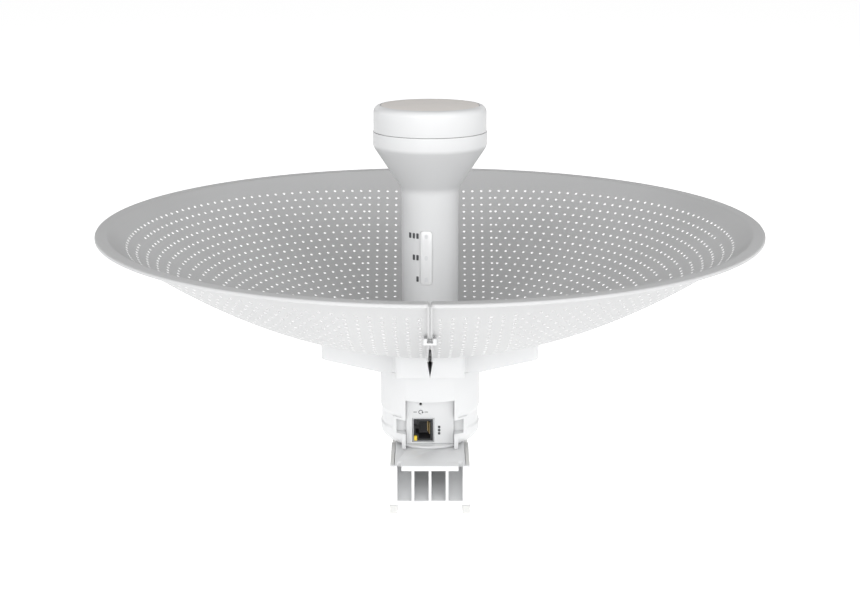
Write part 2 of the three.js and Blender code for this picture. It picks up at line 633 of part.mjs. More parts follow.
function reflectorHalf(side) {
  const { radius, seamGap, cornerRadius, sheet } = DISH;
  const edge = seamGap / 2;
  const keep = block(edge, radius + 5, -radius - 5, radius + 5, above(-10), above(100));
  let half = reflectorRound().intersect(keep);
  half = joined(half, seamFlange(-1), seamFlange(1));
  const centreX = edge + cornerRadius;
  const centreY = Math.sqrt((radius - cornerRadius) ** 2 - centreX ** 2);
  for (const end of [-1, 1]) {
    const y = end * centreY;
    const tip = end * (radius + 2);
    const square = block(edge - 1, centreX, Math.min(y, tip), Math.max(y, tip), above(40), above(100));
    half = half.subtract(square.subtract(rod(cornerRadius, 60, 'Z', centreX, y, above(40))));
  }
  half = cutFrom(half, ...screwSpots.collar.map((spot) => screwHole(spot, above(-5), above(10))));
  return side < 0 ? half.mirror([1, 0, 0]) : half;
}

place('reflector_left', reflectorHalf(-1), 'reflector_paint');
place('reflector_right', reflectorHalf(1), 'reflector_paint');

// A small moulded clip that bridges the seam's folded strips on the outside of the dish.
function seamClip(end) {
  const { reach, width, length, thick } = CLIP;
  const gapHalf = DISH.seamGap / 2 + DISH.sheet + FIT;
  const y0 = end * reach - length / 2;
  const y1 = end * reach + length / 2;
  const innerEnd = reach - length / 2;
  const hem = above(bowl(innerEnd) - DISH.flange - FIT);
  const body = block(-width / 2, width / 2, y0, y1, hem - thick, above(bowl(innerEnd) - FIT));
  return body.subtract(block(-gapHalf, gapHalf, y0 - 1, y1 + 1, hem, above(bowl(innerEnd) + 1)));
}

place('seam_clip_front', seamClip(-1), 'white_shell');
place('seam_clip_rear', seamClip(1), 'white_shell');

// ---------------------------------------------------------------- stem, collar and lock nut
function stemCollar() {
  const bore = STEM.radius + FIT;
  const { radius, height, edge, chamfer, crown } = COLLAR;
  const lift = DISH.sheet + FIT;
  const ring = turned([
    [bore, above(bowl(bore) + lift)],
    [(bore + radius) / 2, above(bowl((bore + radius) / 2) + lift)],
    [radius, above(bowl(radius) + lift)],
    [radius, above(bowl(radius) + lift + edge)],
    [radius - chamfer, above(height - crown)],
    [radius - chamfer - 1, above(height)],
    [bore, above(height)],
  ]);
  return cutFrom(ring, ...screwSpots.collar.map((spot) => screwHole(spot, above(0), above(height + 1))));
}

place('stem_collar', stemCollar(), 'white_shell');
screwSpots.collar.forEach((spot, i) => {
  const seat = COLLAR.height + FIT;
  place(`collar_screw_${i + 1}`, screw(spot, above(seat), seat + COLLAR.screwBite), 'bare_metal');
});

const nutBlank = rod(NUT.radius, NUT.height, 'Z', 0, 0, nutTop - NUT.height, 6);
place('stem_lock_nut', nutBlank.subtract(
  rod(STEM.radius + FIT, NUT.height + 2, 'Z', 0, 0, nutTop - NUT.height - 1, FACETS.round)), 'black_plastic');
place('stem_seal', turned([
  [STEM.radius + FIT, nutTop + FIT],
  [NUT.radius - NUT.sealLip, nutTop + FIT],
  [NUT.radius - NUT.sealLip, nutTop + FIT + NUT.sealThick],
  [STEM.radius + FIT, nutTop + FIT + NUT.sealThick],
]), 'seal_rubber');

// ---------------------------------------------------------------- feed tube with its signal window
function windowOutline(grow) {
  const { x, middle, width, height, corner } = SIGNAL;
  return roundedRectangle(
    x - width / 2 - grow, x + width / 2 + grow,
    above(middle - height / 2 - grow), above(middle + height / 2 + grow), corner);
}

function shellRing(inner, outer) {
  const { middle, height } = SIGNAL;
  const from = above(middle - height);
  const ring = rod(outer, 2 * height, 'Z', 0, 0, from, FACETS.round);
  return ring.subtract(rod(inner, 2 * height + 2, 'Z', 0, 0, from - 1, FACETS.round));
}

const lampHeights = [1, 0, -1].map((step) => SIGNAL.middle + step * SIGNAL.pitch);
const windowBack = STEM.radius - STEM.wall / 2 + FIT;

function feedTube() {
  const { radius, wall, flareFrom, flareOut, flareBend, cupIn, cupFrom, cupBend } = STEM;
  const rise = (shift, inset, wallIn) => [
    ...bend(
      [radius - inset, above(flareFrom + shift)],
      [radius - inset, above(flareFrom + flareBend / 2 + shift)],
      [radius + flareOut - inset, above(flareFrom + flareBend + shift)], 4),
    ...bend(
      [HEAD.radius - cupIn - wallIn, above(cupFrom + shift)],
      [HEAD.radius - wallIn, above(cupBend + shift)],
      [HEAD.radius - wallIn, above(HEAD.flareTo + shift)], 4),
  ];
  const rebate = HEAD.radius - HEAD.wall + HEAD.rebate + SEAL.slack;
  const outer = rise(0, 0, 0);
  const inner = rise(1, wall, HEAD.wall).reverse();
  const tube = turned([
    [radius, stemFoot],
    ...outer,
    [HEAD.radius, above(HEAD.cupTop)],
    [rebate, above(HEAD.cupTop)],
    [rebate, above(HEAD.cupTop - HEAD.rebate)],
    [HEAD.radius - HEAD.wall, above(HEAD.cupTop - HEAD.rebate)],
    ...inner,
    [radius - wall, stemFoot],
  ]);
  const pocket = prism(windowOutline(FIT), 'Y', -radius - 5, 0).intersect(
    shellRing(windowBack - FIT, radius + 3));
  const lampHoles = lampHeights.map((height) => rod(
    SIGNAL.lensRadius + FIT, radius, 'Y', SIGNAL.x, -radius - 2, above(height)));
  return cutFrom(tube, pocket, ...lampHoles);
}

place('feed_tube', feedTube(), 'white_shell');
place('signal_window', prism(windowOutline(0), 'Y', -STEM.radius - 5, 0).intersect(
  shellRing(windowBack, STEM.radius + SIGNAL.proud)), 'clear_lens');

// One clear guide behind the window: a bar with a pin through the tube's wall at each lamp.
const guideBack = -(STEM.radius - STEM.wall - 2);
function lightGuide() {
  const { x, lensRadius, pitch } = SIGNAL;
  const pinFront = FIT - Math.sqrt(windowBack ** 2 - (Math.abs(x) + lensRadius) ** 2);
  const barFront = guideBack - SIGNAL.guideThick;
  const bar = block(
    x - lensRadius, x + lensRadius, barFront, guideBack,
    above(lampHeights[2]) - lensRadius, above(lampHeights[0]) + lensRadius);
  const pins = lampHeights.map((height) => rod(
    lensRadius, (barFront + guideBack) / 2 - pinFront, 'Y', x, pinFront, above(height), FACETS.small));
  return joined(bar, ...pins);
}

place('light_guide', lightGuide(), 'clear_lens');
lampHeights.forEach((height, i) => {
  const lampFront = guideBack + FIT;
  place(`signal_led_${i + 1}`, block(
    SIGNAL.x - SIGNAL.lampHalf, BOARD.face - FIT, lampFront, lampFront + SIGNAL.lampDeep,
    above(height - SIGNAL.lampHalf), above(height + SIGNAL.lampHalf)), 'clear_lens');
});

// ---------------------------------------------------------------- antenna head
const feedTop = FEED.boardAt + FEED.boardThick;
place('feed_board', rod(
  FEED.boardRadius, FEED.boardThick, 'Z', 0, 0, above(FEED.boardAt)), 'circuit_board');
place('driven_patch', rod(
  FEED.patchRadius, FEED.patchThick, 'Z', 0, 0, above(FEED.patchAt)), 'bare_metal');
place('sub_reflector', rod(
  FEED.plateRadius, FEED.plateThick, 'Z', 0, 0, above(FEED.plateAt)), 'bare_metal');
place('patch_post', rod(
  FEED.postRadius, FEED.patchAt - feedTop - 2 * FIT, 'Z', 0, 0, above(feedTop + FIT), FACETS.small),
'bare_metal');
for (const i of range(3)) {
  const [x, y] = onCircle(FEED.spacerCircle, 90 + 120 * i);
  place(`head_spacer_${i + 1}`, rod(
    FEED.spacerRadius, FEED.plateAt - feedTop - 2 * FIT, 'Z', x, y, above(feedTop + FIT), FACETS.small),
  'white_shell');
}

const capBase = HEAD.cupTop + HEAD.seamWidth;
const discSeat = HEAD.capTop - HEAD.discThick;

function headCap() {
  const { capRadius, capTop, capCorner, discRadius, wall, roof, radius, spigotWall, spigotDrop } = HEAD;
  const spigotOuter = radius - wall - FIT;
  const spigotInner = spigotOuter - spigotWall;
  const spigotEnd = above(HEAD.cupTop - spigotDrop);
  return turned([
    [0, above(discSeat - FIT - roof)],
    [capRadius - wall - 3, above(discSeat - FIT - roof)],
    [capRadius - wall, above(discSeat - FIT - roof - 3)],
    [capRadius - wall, above(capBase + 2)],
    [spigotInner, above(capBase)],
    [spigotInner, spigotEnd],
    [spigotOuter, spigotEnd],
    [spigotOuter, above(capBase)],
    [capRadius, above(capBase)],
    ...bend([capRadius, above(capTop - capCorner)], [capRadius, above(capTop)],
      [discRadius + FIT, above(capTop)], 6),
    [discRadius + FIT, above(discSeat - FIT)],
    [0, above(discSeat - FIT)],
  ]);
}

place('head_cap', headCap(), 'white_shell');
place('cap_disc', turned([
  [0, above(discSeat)],
  [HEAD.discRadius, above(discSeat)],
  [HEAD.discRadius, above(HEAD.capTop)],
  ...bend([HEAD.discRadius, above(HEAD.capTop)], [HEAD.discRadius * 0.6, above(HEAD.capTop + HEAD.discDome)],
    [0, above(HEAD.capTop + HEAD.discDome)], 4).slice(1),
]), 'grey_inlay');
const sealInner = HEAD.radius - HEAD.wall + SEAL.inset;
const sealBase = above(HEAD.cupTop - HEAD.rebate + FIT);
place('cap_seal', turned([
  [sealInner, sealBase],
  [sealInner + SEAL.width, sealBase],
  [sealInner + SEAL.width, above(capBase - FIT)],
  [sealInner, above(capBase - FIT)],
]), 'seal_rubber');

export default bridge;
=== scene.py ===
"""Looks of the outdoor wireless bridge, built round its packed CAD model.

Lengths are metres in the model's own frame: +Z runs along the beam, the port bay faces -Y,
and the origin lies under the centre of the pole saddle.
"""

import math

import bmesh
import bpy
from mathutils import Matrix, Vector


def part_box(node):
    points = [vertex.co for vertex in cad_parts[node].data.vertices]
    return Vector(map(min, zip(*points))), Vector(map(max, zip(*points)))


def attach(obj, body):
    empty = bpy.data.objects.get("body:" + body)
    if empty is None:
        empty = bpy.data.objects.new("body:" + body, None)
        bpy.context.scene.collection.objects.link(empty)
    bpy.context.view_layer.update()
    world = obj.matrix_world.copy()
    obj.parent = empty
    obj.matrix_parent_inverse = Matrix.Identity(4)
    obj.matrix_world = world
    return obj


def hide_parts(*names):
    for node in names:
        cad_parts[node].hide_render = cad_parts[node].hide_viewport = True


bl_info = {
    "name": "Wireless Bridge Looks",
    "version": (1, 0, 0),
    "blender": (4, 5, 0),
    "location": "View3D > Sidebar > Wireless Bridge",
    "description": "Builds the finished pieces and materials of an outdoor wireless bridge",
    "category": "Object",
}

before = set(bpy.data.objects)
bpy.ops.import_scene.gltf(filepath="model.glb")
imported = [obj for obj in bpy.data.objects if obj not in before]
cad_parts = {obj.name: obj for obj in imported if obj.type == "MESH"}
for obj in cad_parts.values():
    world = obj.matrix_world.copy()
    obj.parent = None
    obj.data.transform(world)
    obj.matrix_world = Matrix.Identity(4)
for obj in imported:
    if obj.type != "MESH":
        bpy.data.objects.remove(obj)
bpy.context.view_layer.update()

MM = 0.001
BODY = "bridge"
ROUND = 128          # sides of a large turned piece
BORE = 24            # sides of a small bore
CORNER_STEPS = 6     # divisions of a rounded corner
SMOOTH_ANGLE = math.radians(32)
TINY = 1e-7
SAME_SPOT = 2e-5     # corners of a CAD mesh closer than this are one

# ------------------------------------------------------------------ places read from the frame


def lowest(node):
    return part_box(node)[0]


def highest(node):
    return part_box(node)[1]


GAP = 0.3 * MM       # clearance that the CAD model leaves between pieces
SHEET = 1.0 * MM     # gauge of the reflector's metal
FOCAL = 130.8 * MM
RIM = highest("reflector_right").y
LIP = highest("reflector_right").x - 7.7 * MM
LIP_TOP = highest("reflector_right").z
SEAM_HALF = lowest("reflector_right").x


def bowl(radius):
    """Height of the paraboloid over its vertex."""
    return radius * radius / (4 * FOCAL)


VERTEX = LIP_TOP - SHEET - bowl(LIP)
DECK = highest("pole_saddle").z
HOUSING_LOW = lowest("rear_housing").z
HOUSING_HIGH = highest("rear_housing").z
PANEL_FACE = -lowest("port_panel").y
STEM_LOW = lowest("feed_tube").z
CUP_HIGH = highest("feed_tube").z
CUP_RADIUS = highest("feed_tube").x
CAP_HIGH = highest("head_cap").z
CAP_RADIUS = highest("head_cap").x
DISC_RADIUS = highest("cap_disc").x
DISC_HIGH = highest("cap_disc").z
DISC_LOW = lowest("cap_disc").z
STEM_RADIUS = 18.2 * MM
STEM_WALL = 2.0 * MM
SCREW_BORE = 1.8 * MM        # radius of a clearance hole for a screw


# ------------------------------------------------------------------ node graphs as expressions
class Value:
    """What one socket carries; sums on it add Math nodes to its graph."""

    def __init__(self, graph, socket):
        self.graph = graph
        self.socket = socket

    def other(self, name):
        """Another output of the same node."""
        return Value(self.graph, self.socket.node.outputs[name])

    def __add__(self, other):
        return self.graph.math("ADD", self, other)

    def __radd__(self, other):
        return self.graph.math("ADD", other, self)

    def __sub__(self, other):
        return self.graph.math("SUBTRACT", self, other)

    def __rsub__(self, other):
        return self.graph.math("SUBTRACT", other, self)

    def __mul__(self, other):
        return self.graph.math("MULTIPLY", self, other)

    def __rmul__(self, other):
        return self.graph.math("MULTIPLY", other, self)

    def __truediv__(self, other):
        return self.graph.math("DIVIDE", self, other)

    def __rtruediv__(self, other):
        return self.graph.math("DIVIDE", other, self)


class Graph:
    """A node tree, with one method that makes any node in it."""

    def __init__(self, tree):
        self.tree = tree

    def node(self, kind, settings=None, values=None, output=0):
        """Makes a node: its settings first, then its sockets' values or links."""
        made = self.tree.nodes.new(kind)
        for name, setting in (settings or {}).items():
            if name == "stops":
                self._set_stops(made.color_ramp, setting)
            else:
                setattr(made, name, setting)
        for name, value in (values or {}).items():
            self.feed(made.inputs[name], value)
        return Value(self, made.outputs[output]) if len(made.outputs) else made

    def feed(self, socket, value):
        if isinstance(value, (list, tuple)) and isinstance(value[0], Value):
            for each in value:
                self.tree.links.new(each.socket, socket)
        elif isinstance(value, Value):
            self.tree.links.new(value.socket, socket)
        else:
            socket.default_value = value

    @staticmethod
    def _set_stops(ramp, stops):
        while len(ramp.elements) < len(stops):
            ramp.elements.new(0.5)
        for element, (position, color) in zip(ramp.elements, stops):
            element.position = position
            element.color = color

    def math(self, operation, *numbers):
        return self.node("ShaderNodeMath", {"operation": operation}, dict(enumerate(numbers)))

    def vector(self, operation, *vectors):
        return self.node("ShaderNodeVectorMath", {"operation": operation}, dict(enumerate(vectors)))

    def combine(self, x=0.0, y=0.0, z=0.0):
        return self.node("ShaderNodeCombineXYZ", values={"X": x, "Y": y, "Z": z})

    def split(self, vector):
        parts = self.node("ShaderNodeSeparateXYZ", values={"Vector": vector})
        return parts, parts.other("Y"), parts.other("Z")


class Finish(Graph):
    """A procedural material whose patterns are laid out in Object coordinates."""

    def __init__(self, name):
        self.material = bpy.data.materials.new(name)
        self.material.use_nodes = True
        super().__init__(self.material.node_tree)
        self.tree.nodes.clear()
        self.place = self.node("ShaderNodeTexCoord", output="Object")

    def noise(self, size, detail=3.0, stretch=(1.0, 1.0, 1.0)):
        """Soft noise from 0 to 1, whose grain is about `size` metres."""
        spread = self.node("ShaderNodeMapping", values={"Vector": self.place, "Scale": stretch})
        return self.node("ShaderNodeTexNoise", values={
            "Vector": spread, "Scale": 1 / size, "Detail": detail, "Roughness": 0.55})

    def cells(self, size):
        return self.node("ShaderNodeTexVoronoi", {"feature": "F1"}, {
            "Vector": self.place, "Scale": 1 / size}, output="Distance")

    def step(self, value, low, high):
        """0 below `low`, 1 above `high`."""
        return self.node("ShaderNodeMapRange", {"clamp": True}, {
            "Value": value, "From Min": low, "From Max": high})

    def blend(self, factor, first, second):
        """The first colour where the factor is 0, the second where it is 1."""
        mix = self.tree.nodes.new("ShaderNodeMix")
        mix.data_type = "RGBA"
        self.feed(mix.inputs[0], factor)
        self.feed(mix.inputs[6], first)
        self.feed(mix.inputs[7], second)
        return Value(self, mix.outputs[2])

    def bump(self, height, depth):
        return self.node("ShaderNodeBump", values={"Height": height, "Distance": depth, "Strength": 1.0})

    def surface(self, color, roughness, normal=None, **fixed):
        """Ends the material in one Principled shader; `fixed` are its unvarying sockets."""
        values = {"Base Color": color, "Roughness": roughness}
        values.update({name.replace("_", " "): value for name, value in fixed.items()})
        if normal is not None:
            values["Normal"] = normal
        shader = self.node("ShaderNodeBsdfPrincipled", values=values)
        self.node("ShaderNodeOutputMaterial", values={"Surface": shader})
        return self.material


class Recipe(Graph):
    """A Geometry Nodes tree with named inputs, which are read as recipe["Name"]."""

    def __init__(self, name, lengths=(), counts=(), finishes=("Finish",)):
        tree = bpy.data.node_groups.new(name, "GeometryNodeTree")
        tree.is_modifier = True
        super().__init__(tree)
        tree.interface.new_socket("Geometry", in_out="OUTPUT", socket_type="NodeSocketGeometry")
        wanted = [("Geometry", "NodeSocketGeometry")]
        wanted += [(label, "NodeSocketMaterial") for label in finishes]
        wanted += [(label, "NodeSocketFloat") for label in lengths]
        wanted += [(label, "NodeSocketInt") for label in counts]
        for label, kind in wanted:
            tree.interface.new_socket(label, in_out="INPUT", socket_type=kind)
        self.given = tree.nodes.new("NodeGroupInput")

    def __getitem__(self, name):
        return Value(self, self.given.outputs[name])

    def finish(self, geometry, except_for=None):
        """Ends the tree: instances made real, smooth shading with sharp edges kept, material set."""
        real = self.node("GeometryNodeRealizeInstances", values={"Geometry": geometry})
        smooth = self.node("GeometryNodeSetShadeSmooth", values={"Geometry": real})
        angle = self.node("GeometryNodeInputMeshEdgeAngle")
        soft = self.node("FunctionNodeCompare", {"operation": "LESS_THAN"}, {0: angle, 1: SMOOTH_ANGLE})
        shaded = self.node("GeometryNodeSetShadeSmooth", {"domain": "EDGE"}, {
            "Geometry": smooth, "Shade Smooth": soft})
        painting = {"Geometry": shaded, "Material": self["Finish"]}
        if except_for:
            painting["Selection"] = self.node("FunctionNodeBooleanMath", {"operation": "NOT"}, {
                0: self.node("GeometryNodeMaterialSelection", values={"Material": self[except_for]})})
        painted = self.node("GeometryNodeSetMaterial", values=painting)
        self.node("NodeGroupOutput", values={"Geometry": painted})

    def run(self, mesh, values):
        """The plain mesh that the tree makes of `mesh` with these input values."""
        piece = linked(bpy.data.objects.new(self.tree.name, mesh))
        modifier = piece.modifiers.new(self.tree.name, "NODES")
        modifier.node_group = self.tree
        for item in self.tree.interface.items_tree:
            if item.in_out == "INPUT" and item.name in values:
                modifier[item.identifier] = values[item.name]
        made = evaluated(piece)
        bpy.data.objects.remove(piece)
        return made


# ------------------------------------------------------------------ meshes
def linked(piece):
    bpy.context.scene.collection.objects.link(piece)
    return piece


def evaluated(piece):
    """A plain mesh of the object with its modifiers applied."""
    bpy.context.view_layer.update()
    graph = bpy.context.evaluated_depsgraph_get()
    return bpy.data.meshes.new_from_object(piece.evaluated_get(graph), depsgraph=graph)


def mesh_of(points, faces):
    mesh = bpy.data.meshes.new("shape")
    mesh.from_pydata([tuple(point) for point in points], [], faces)
    return outward(mesh)


def outward(mesh, merge=TINY):
    """Merges doubles and turns the faces of a closed shape outwards."""
    work = bmesh.new()
    work.from_mesh(mesh)
    bmesh.ops.remove_doubles(work, verts=work.verts, dist=merge)
    bmesh.ops.recalc_face_normals(work, faces=work.faces)
    if work.calc_volume(signed=True) < 0:
        bmesh.ops.reverse_faces(work, faces=work.faces)
    work.to_mesh(mesh)
    work.free()
    return mesh


class Solid:
    """A closed mesh: + joins, - cuts, & keeps what two solids share."""

    def __init__(self, mesh):
        self.mesh = mesh

    def _with(self, other, operation):
        body = linked(bpy.data.objects.new("body", self.mesh))
        tool = linked(bpy.data.objects.new("tool", other.mesh))
        modifier = body.modifiers.new("cut", "BOOLEAN")
        modifier.operation = operation
        modifier.solver = "MANIFOLD"
        modifier.object = tool
        made = evaluated(body)
        bpy.data.objects.remove(body)
        bpy.data.objects.remove(tool)
        return Solid(made)

    def __add__(self, other):
        return self._with(other, "UNION")

    def __sub__(self, other):
        return self._with(other, "DIFFERENCE")

    def __and__(self, other):
        return self._with(other, "INTERSECT")


def filleted(outline):
    """An outline of (a, b) points, where a third number rounds that corner to its radius."""
    points = []
    count = len(outline)
    for i, corner in enumerate(outline):
        here = Vector(corner[:2])
        radius = corner[2] if len(corner) > 2 else 0
        if not radius:
            points.append(tuple(here))
            continue
        to_last = (Vector(outline[i - 1][:2]) - here).normalized()
        to_next = (Vector(outline[(i + 1) % count][:2]) - here).normalized()
        half = to_last.angle(to_next) / 2
        run = radius / math.tan(half)
        centre = here + (to_last + to_next).normalized() * radius / math.sin(half)
        first = here + to_last * run - centre
        last = here + to_next * run - centre
        start = math.atan2(first.y, first.x)
        sweep = math.remainder(math.atan2(last.y, last.x) - start, math.tau)
        for step in range(CORNER_STEPS + 1):
            angle = start + sweep * step / CORNER_STEPS
            points.append((centre.x + radius * math.cos(angle), centre.y + radius * math.sin(angle)))
    return points


def turned(outline, sides=ROUND):
    """A closed outline of (radius, height) points turned about the Z axis."""
    points = []
    rings = []
    for radius, height in filleted(outline):
        if radius < TINY:
            rings.append([len(points)] * sides)
            points.append((0, 0, height))
            continue
        rings.append(list(range(len(points), len(points) + sides)))
        for side in range(sides):
            angle = math.tau * side / sides
            points.append((radius * math.cos(angle), radius * math.sin(angle), height))
    faces = []
    for ring, following in zip(rings, rings[1:] + rings[:1]):
        for i in range(sides):
            j = (i + 1) % sides
            corners = list(dict.fromkeys((ring[i], ring[j], following[j], following[i])))
            if len(corners) > 2:
                faces.append(corners)
    return Solid(mesh_of(points, faces))


def prism(outline, axis, start, end):
    """An outline given depth along X, Y or Z; it is drawn in the other two axes, in order."""
    flat = filleted(outline)
    order = {"X": (2, 0, 1), "Y": (0, 2, 1), "Z": (0, 1, 2)}[axis]
    points = [[(a, b, depth)[i] for i in order] for depth in (start, end) for a, b in flat]
    count = len(flat)
    faces = [list(range(count)), list(range(count, 2 * count))]
    faces += [(i, (i + 1) % count, count + (i + 1) % count, count + i) for i in range(count)]
    return Solid(mesh_of(points, faces))


def block(x0, x1, y0, y1, z0, z1):
    return prism([(x0, y0), (x1, y0), (x1, y1), (x0, y1)], "Z", z0, z1)


def rod(radius, axis, centre, start, end, sides=ROUND // 2):
    """A rod along an axis; its centre is given in the other two."""
    a, b = centre
    angles = [math.tau * i / sides for i in range(sides)]
    circle = [(a + radius * math.cos(t), b + radius * math.sin(t)) for t in angles]
    return prism(circle, axis, start, end)


def rounded_box(x0, x1, y0, y1, radius):
    return [(x0, y0, radius), (x1, y0, radius), (x1, y1, radius), (x0, y1, radius)]


def copy_of(node):
    """A merged copy of a CAD node with its flat faces joined up."""
    mesh = outward(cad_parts[node].data.copy(), SAME_SPOT)
    return Solid(tidied(mesh))


def tidied(mesh):
    """Joins the faces that lie in one plane, so that a bevel meets clean edges."""
    work = bmesh.new()
    work.from_mesh(mesh)
    bmesh.ops.dissolve_limit(
        work, angle_limit=math.radians(0.4), verts=work.verts, edges=work.edges)
    work.to_mesh(mesh)
    work.free()
    return mesh


def finished(name, solid, slot, stands_for=(), edge=0.0, segments=2, paint=None):
    """Makes the visible piece, with its body, in the finish `paint` or else the one named by `slot`."""
    mesh = tidied(solid.mesh) if edge else solid.mesh
    piece = linked(bpy.data.objects.new(name, mesh))
    if edge:
        bevel = piece.modifiers.new("soft edges", "BEVEL")
        bevel.width = edge
        bevel.segments = segments
        bevel.limit_method = "ANGLE"
        bevel.angle_limit = math.radians(40)
        bevel.miter_outer = "MITER_ARC"
        piece.data = evaluated(piece)
        piece.modifiers.clear()
    piece.data.name = name
    piece.data.materials.clear()
    piece.data.materials.append(FINISHES[paint or slot])
    piece.data.shade_smooth()
    piece.data.set_sharp_from_angle(angle=SMOOTH_ANGLE)
    return declared(piece, stands_for)


def softened(node, ending, slot, edge):
    """The visible form of a CAD node whose shape holds as it is: the same shape with soft edges."""
    finished(f"{node}_{ending}", copy_of(node), slot, [node], edge)


def centre_of(node):
    low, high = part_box(node)
    return (low + high) / 2


def declared(piece, stands_for=()):
    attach(piece, BODY)
    if stands_for:
        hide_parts(*stands_for)
    return piece


# ------------------------------------------------------------------ finishes
def shell_finish(name, color):
    """Satin moulded housing plastic: fine spark grain, and a faint handling haze."""
    shade = Finish(name)
    haze = shade.noise(45 * MM, detail=4)
    fine = shade.noise(0.35 * MM, detail=2)
    warm = tuple(channel * 0.965 for channel in color[:3]) + (1,)
    roughness = 0.27 + 0.1 * shade.step(haze, 0.35, 0.7) + 0.05 * fine
    return shade.surface(
        shade.blend(shade.step(haze, 0.42, 0.75) * 0.6, color, warm), roughness,
        shade.bump(fine, 0.012 * MM), IOR=1.5)


def coat_finish(name, color):
    """Powder coat on sheet metal: orange peel, fine speckle and slight wear where it is handled."""
    shade = Finish(name)
    peel = shade.noise(1.7 * MM, detail=2)
    speck = shade.noise(0.25 * MM, detail=1)
    cloud = shade.noise(70 * MM, detail=3)
    darker = tuple(channel * 0.955 for channel in color[:3]) + (1,)
    tone = shade.step(speck, 0.35, 0.75) * 0.5 + shade.step(cloud, 0.4, 0.7) * 0.4
    height = peel + 0.35 * speck
    return shade.surface(
        shade.blend(tone, color, darker), 0.4 + 0.12 * cloud,
        shade.bump(height, 0.02 * MM), IOR=1.5)


def matt_finish(name, color, stipple=0.6 * MM, depth=0.04 * MM, roughness=0.72):
    """Matt moulding or soft rubber: a cellular stipple with paler rubbed high spots."""
    shade = Finish(name)
    cells = shade.cells(stipple)
    dust = shade.noise(18 * MM, detail=4)
    paler = tuple(min(1, channel * 1.12 + 0.01) for channel in color[:3]) + (1,)
    tone = shade.step(dust, 0.4, 0.75) * 0.5 + shade.step(cells, 0.25, 0.6) * 0.3
    return shade.surface(
        shade.blend(tone, color, paler), roughness + 0.12 * dust - 0.06 * cells,
        shade.bump(cells, depth), IOR=1.45)


def lens_finish(name, color):
    """Milky clear moulding with a polished face."""
    shade = Finish(name)
    flow = shade.noise(9 * MM, detail=2, stretch=(1, 1, 0.3))
    deeper = tuple(channel * 0.94 for channel in color[:3]) + (1,)
    return shade.surface(
        shade.blend(shade.step(flow, 0.35, 0.7), color, deeper), 0.1 + 0.08 * flow,
        shade.bump(flow, 0.01 * MM), IOR=1.49, Coat_Weight=0.4)


def metal_finish(name, color, roughness=0.3, direction=(1, 1, 0.06)):
    """Bare or plated metal with drawn marks along one direction."""
    shade = Finish(name)
    drawn = shade.noise(0.5 * MM, detail=3, stretch=direction)
    stain = shade.noise(8 * MM, detail=4)
    duller = tuple(channel * 0.8 for channel in color[:3]) + (1,)
    return shade.surface(
        shade.blend(shade.step(stain, 0.45, 0.8), color, duller),
        roughness + 0.14 * drawn + 0.08 * stain,
        shade.bump(drawn, 0.008 * MM), Metallic=1.0)


def board_finish(name, color):
    """Solder mask over copper: blocks of tracks and a scatter of gold pads."""
    shade = Finish(name)
    tracks = shade.node("ShaderNodeTexBrick", {"offset": 0.37}, {
        "Vector": shade.place, "Scale": 90.0, "Mortar Size": 0.03,
        "Color1": (0, 0, 0, 1), "Color2": (0.25, 0.25, 0.25, 1), "Mortar": (1, 1, 1, 1)})
    pads = 1 - shade.step(shade.cells(5 * MM), 0.1, 0.14)
    brighter = (color[0] * 1.8, color[1] * 1.5, color[2] * 1.6, 1)
    mask = shade.blend(tracks, color, brighter)
    return shade.surface(
        shade.blend(pads, mask, (0.75, 0.56, 0.2, 1)), 0.38 + 0.1 * tracks,
        shade.bump(tracks + pads, 0.03 * MM), IOR=1.5)


def lamp_finish(name, color):
    """Diffused coloured lamp that shows its own colour unlit."""
    shade = Finish(name)
    flow = shade.noise(1.2 * MM, detail=2)
    deeper = tuple(channel * 0.75 for channel in color[:3]) + (1,)
    return shade.surface(
        shade.blend(flow, color, deeper), 0.16 + 0.1 * flow,
        shade.bump(flow, 0.01 * MM), IOR=1.5, Emission_Color=color, Emission_Strength=0.12)


def floor_finish(name, brightness):
    """Pale studio paper."""
    shade = Finish(name)
    fibre = shade.noise(2.5 * MM, detail=2)
    return shade.surface(
        shade.blend(fibre, (0.5, 0.5, 0.5, 1), (0.52, 0.52, 0.52, 1)), 0.95,
        Emission_Color=(1, 1, 1, 1), Emission_Strength=brightness)


FINISHES = {}        # materials by name, filled by the first operator


# ------------------------------------------------------------------ settings a user would change
def length(label, about, millimetres, **limits):
    return bpy.props.FloatProperty(
        name=label, description=about, default=millimetres * MM, unit="LENGTH", precision=4, **limits)


def colour(label, about, shade):
    return bpy.props.FloatVectorProperty(
        name=label, description=about, default=(*shade, 1.0), size=4, subtype="COLOR", min=0, max=1)


def degrees(label, about, angle):
    return bpy.props.FloatProperty(
        name=label, description=about, default=math.radians(angle), unit="ROTATION")


def amount(label, about, share):
    return bpy.props.FloatProperty(name=label, description=about, default=share, min=0)


def power(label, place, watts):
    return bpy.props.FloatProperty(
        name=label, description=f"Power of the soft light {place}, in watts", default=watts, min=0)


def whole(label, about, number, **limits):
    return bpy.props.IntProperty(name=label, description=about, default=number, **limits)


def group(kind, label):
    """A group of settings, described by its own docstring."""
    return bpy.props.PointerProperty(type=kind, name=label, description=kind.__doc__)


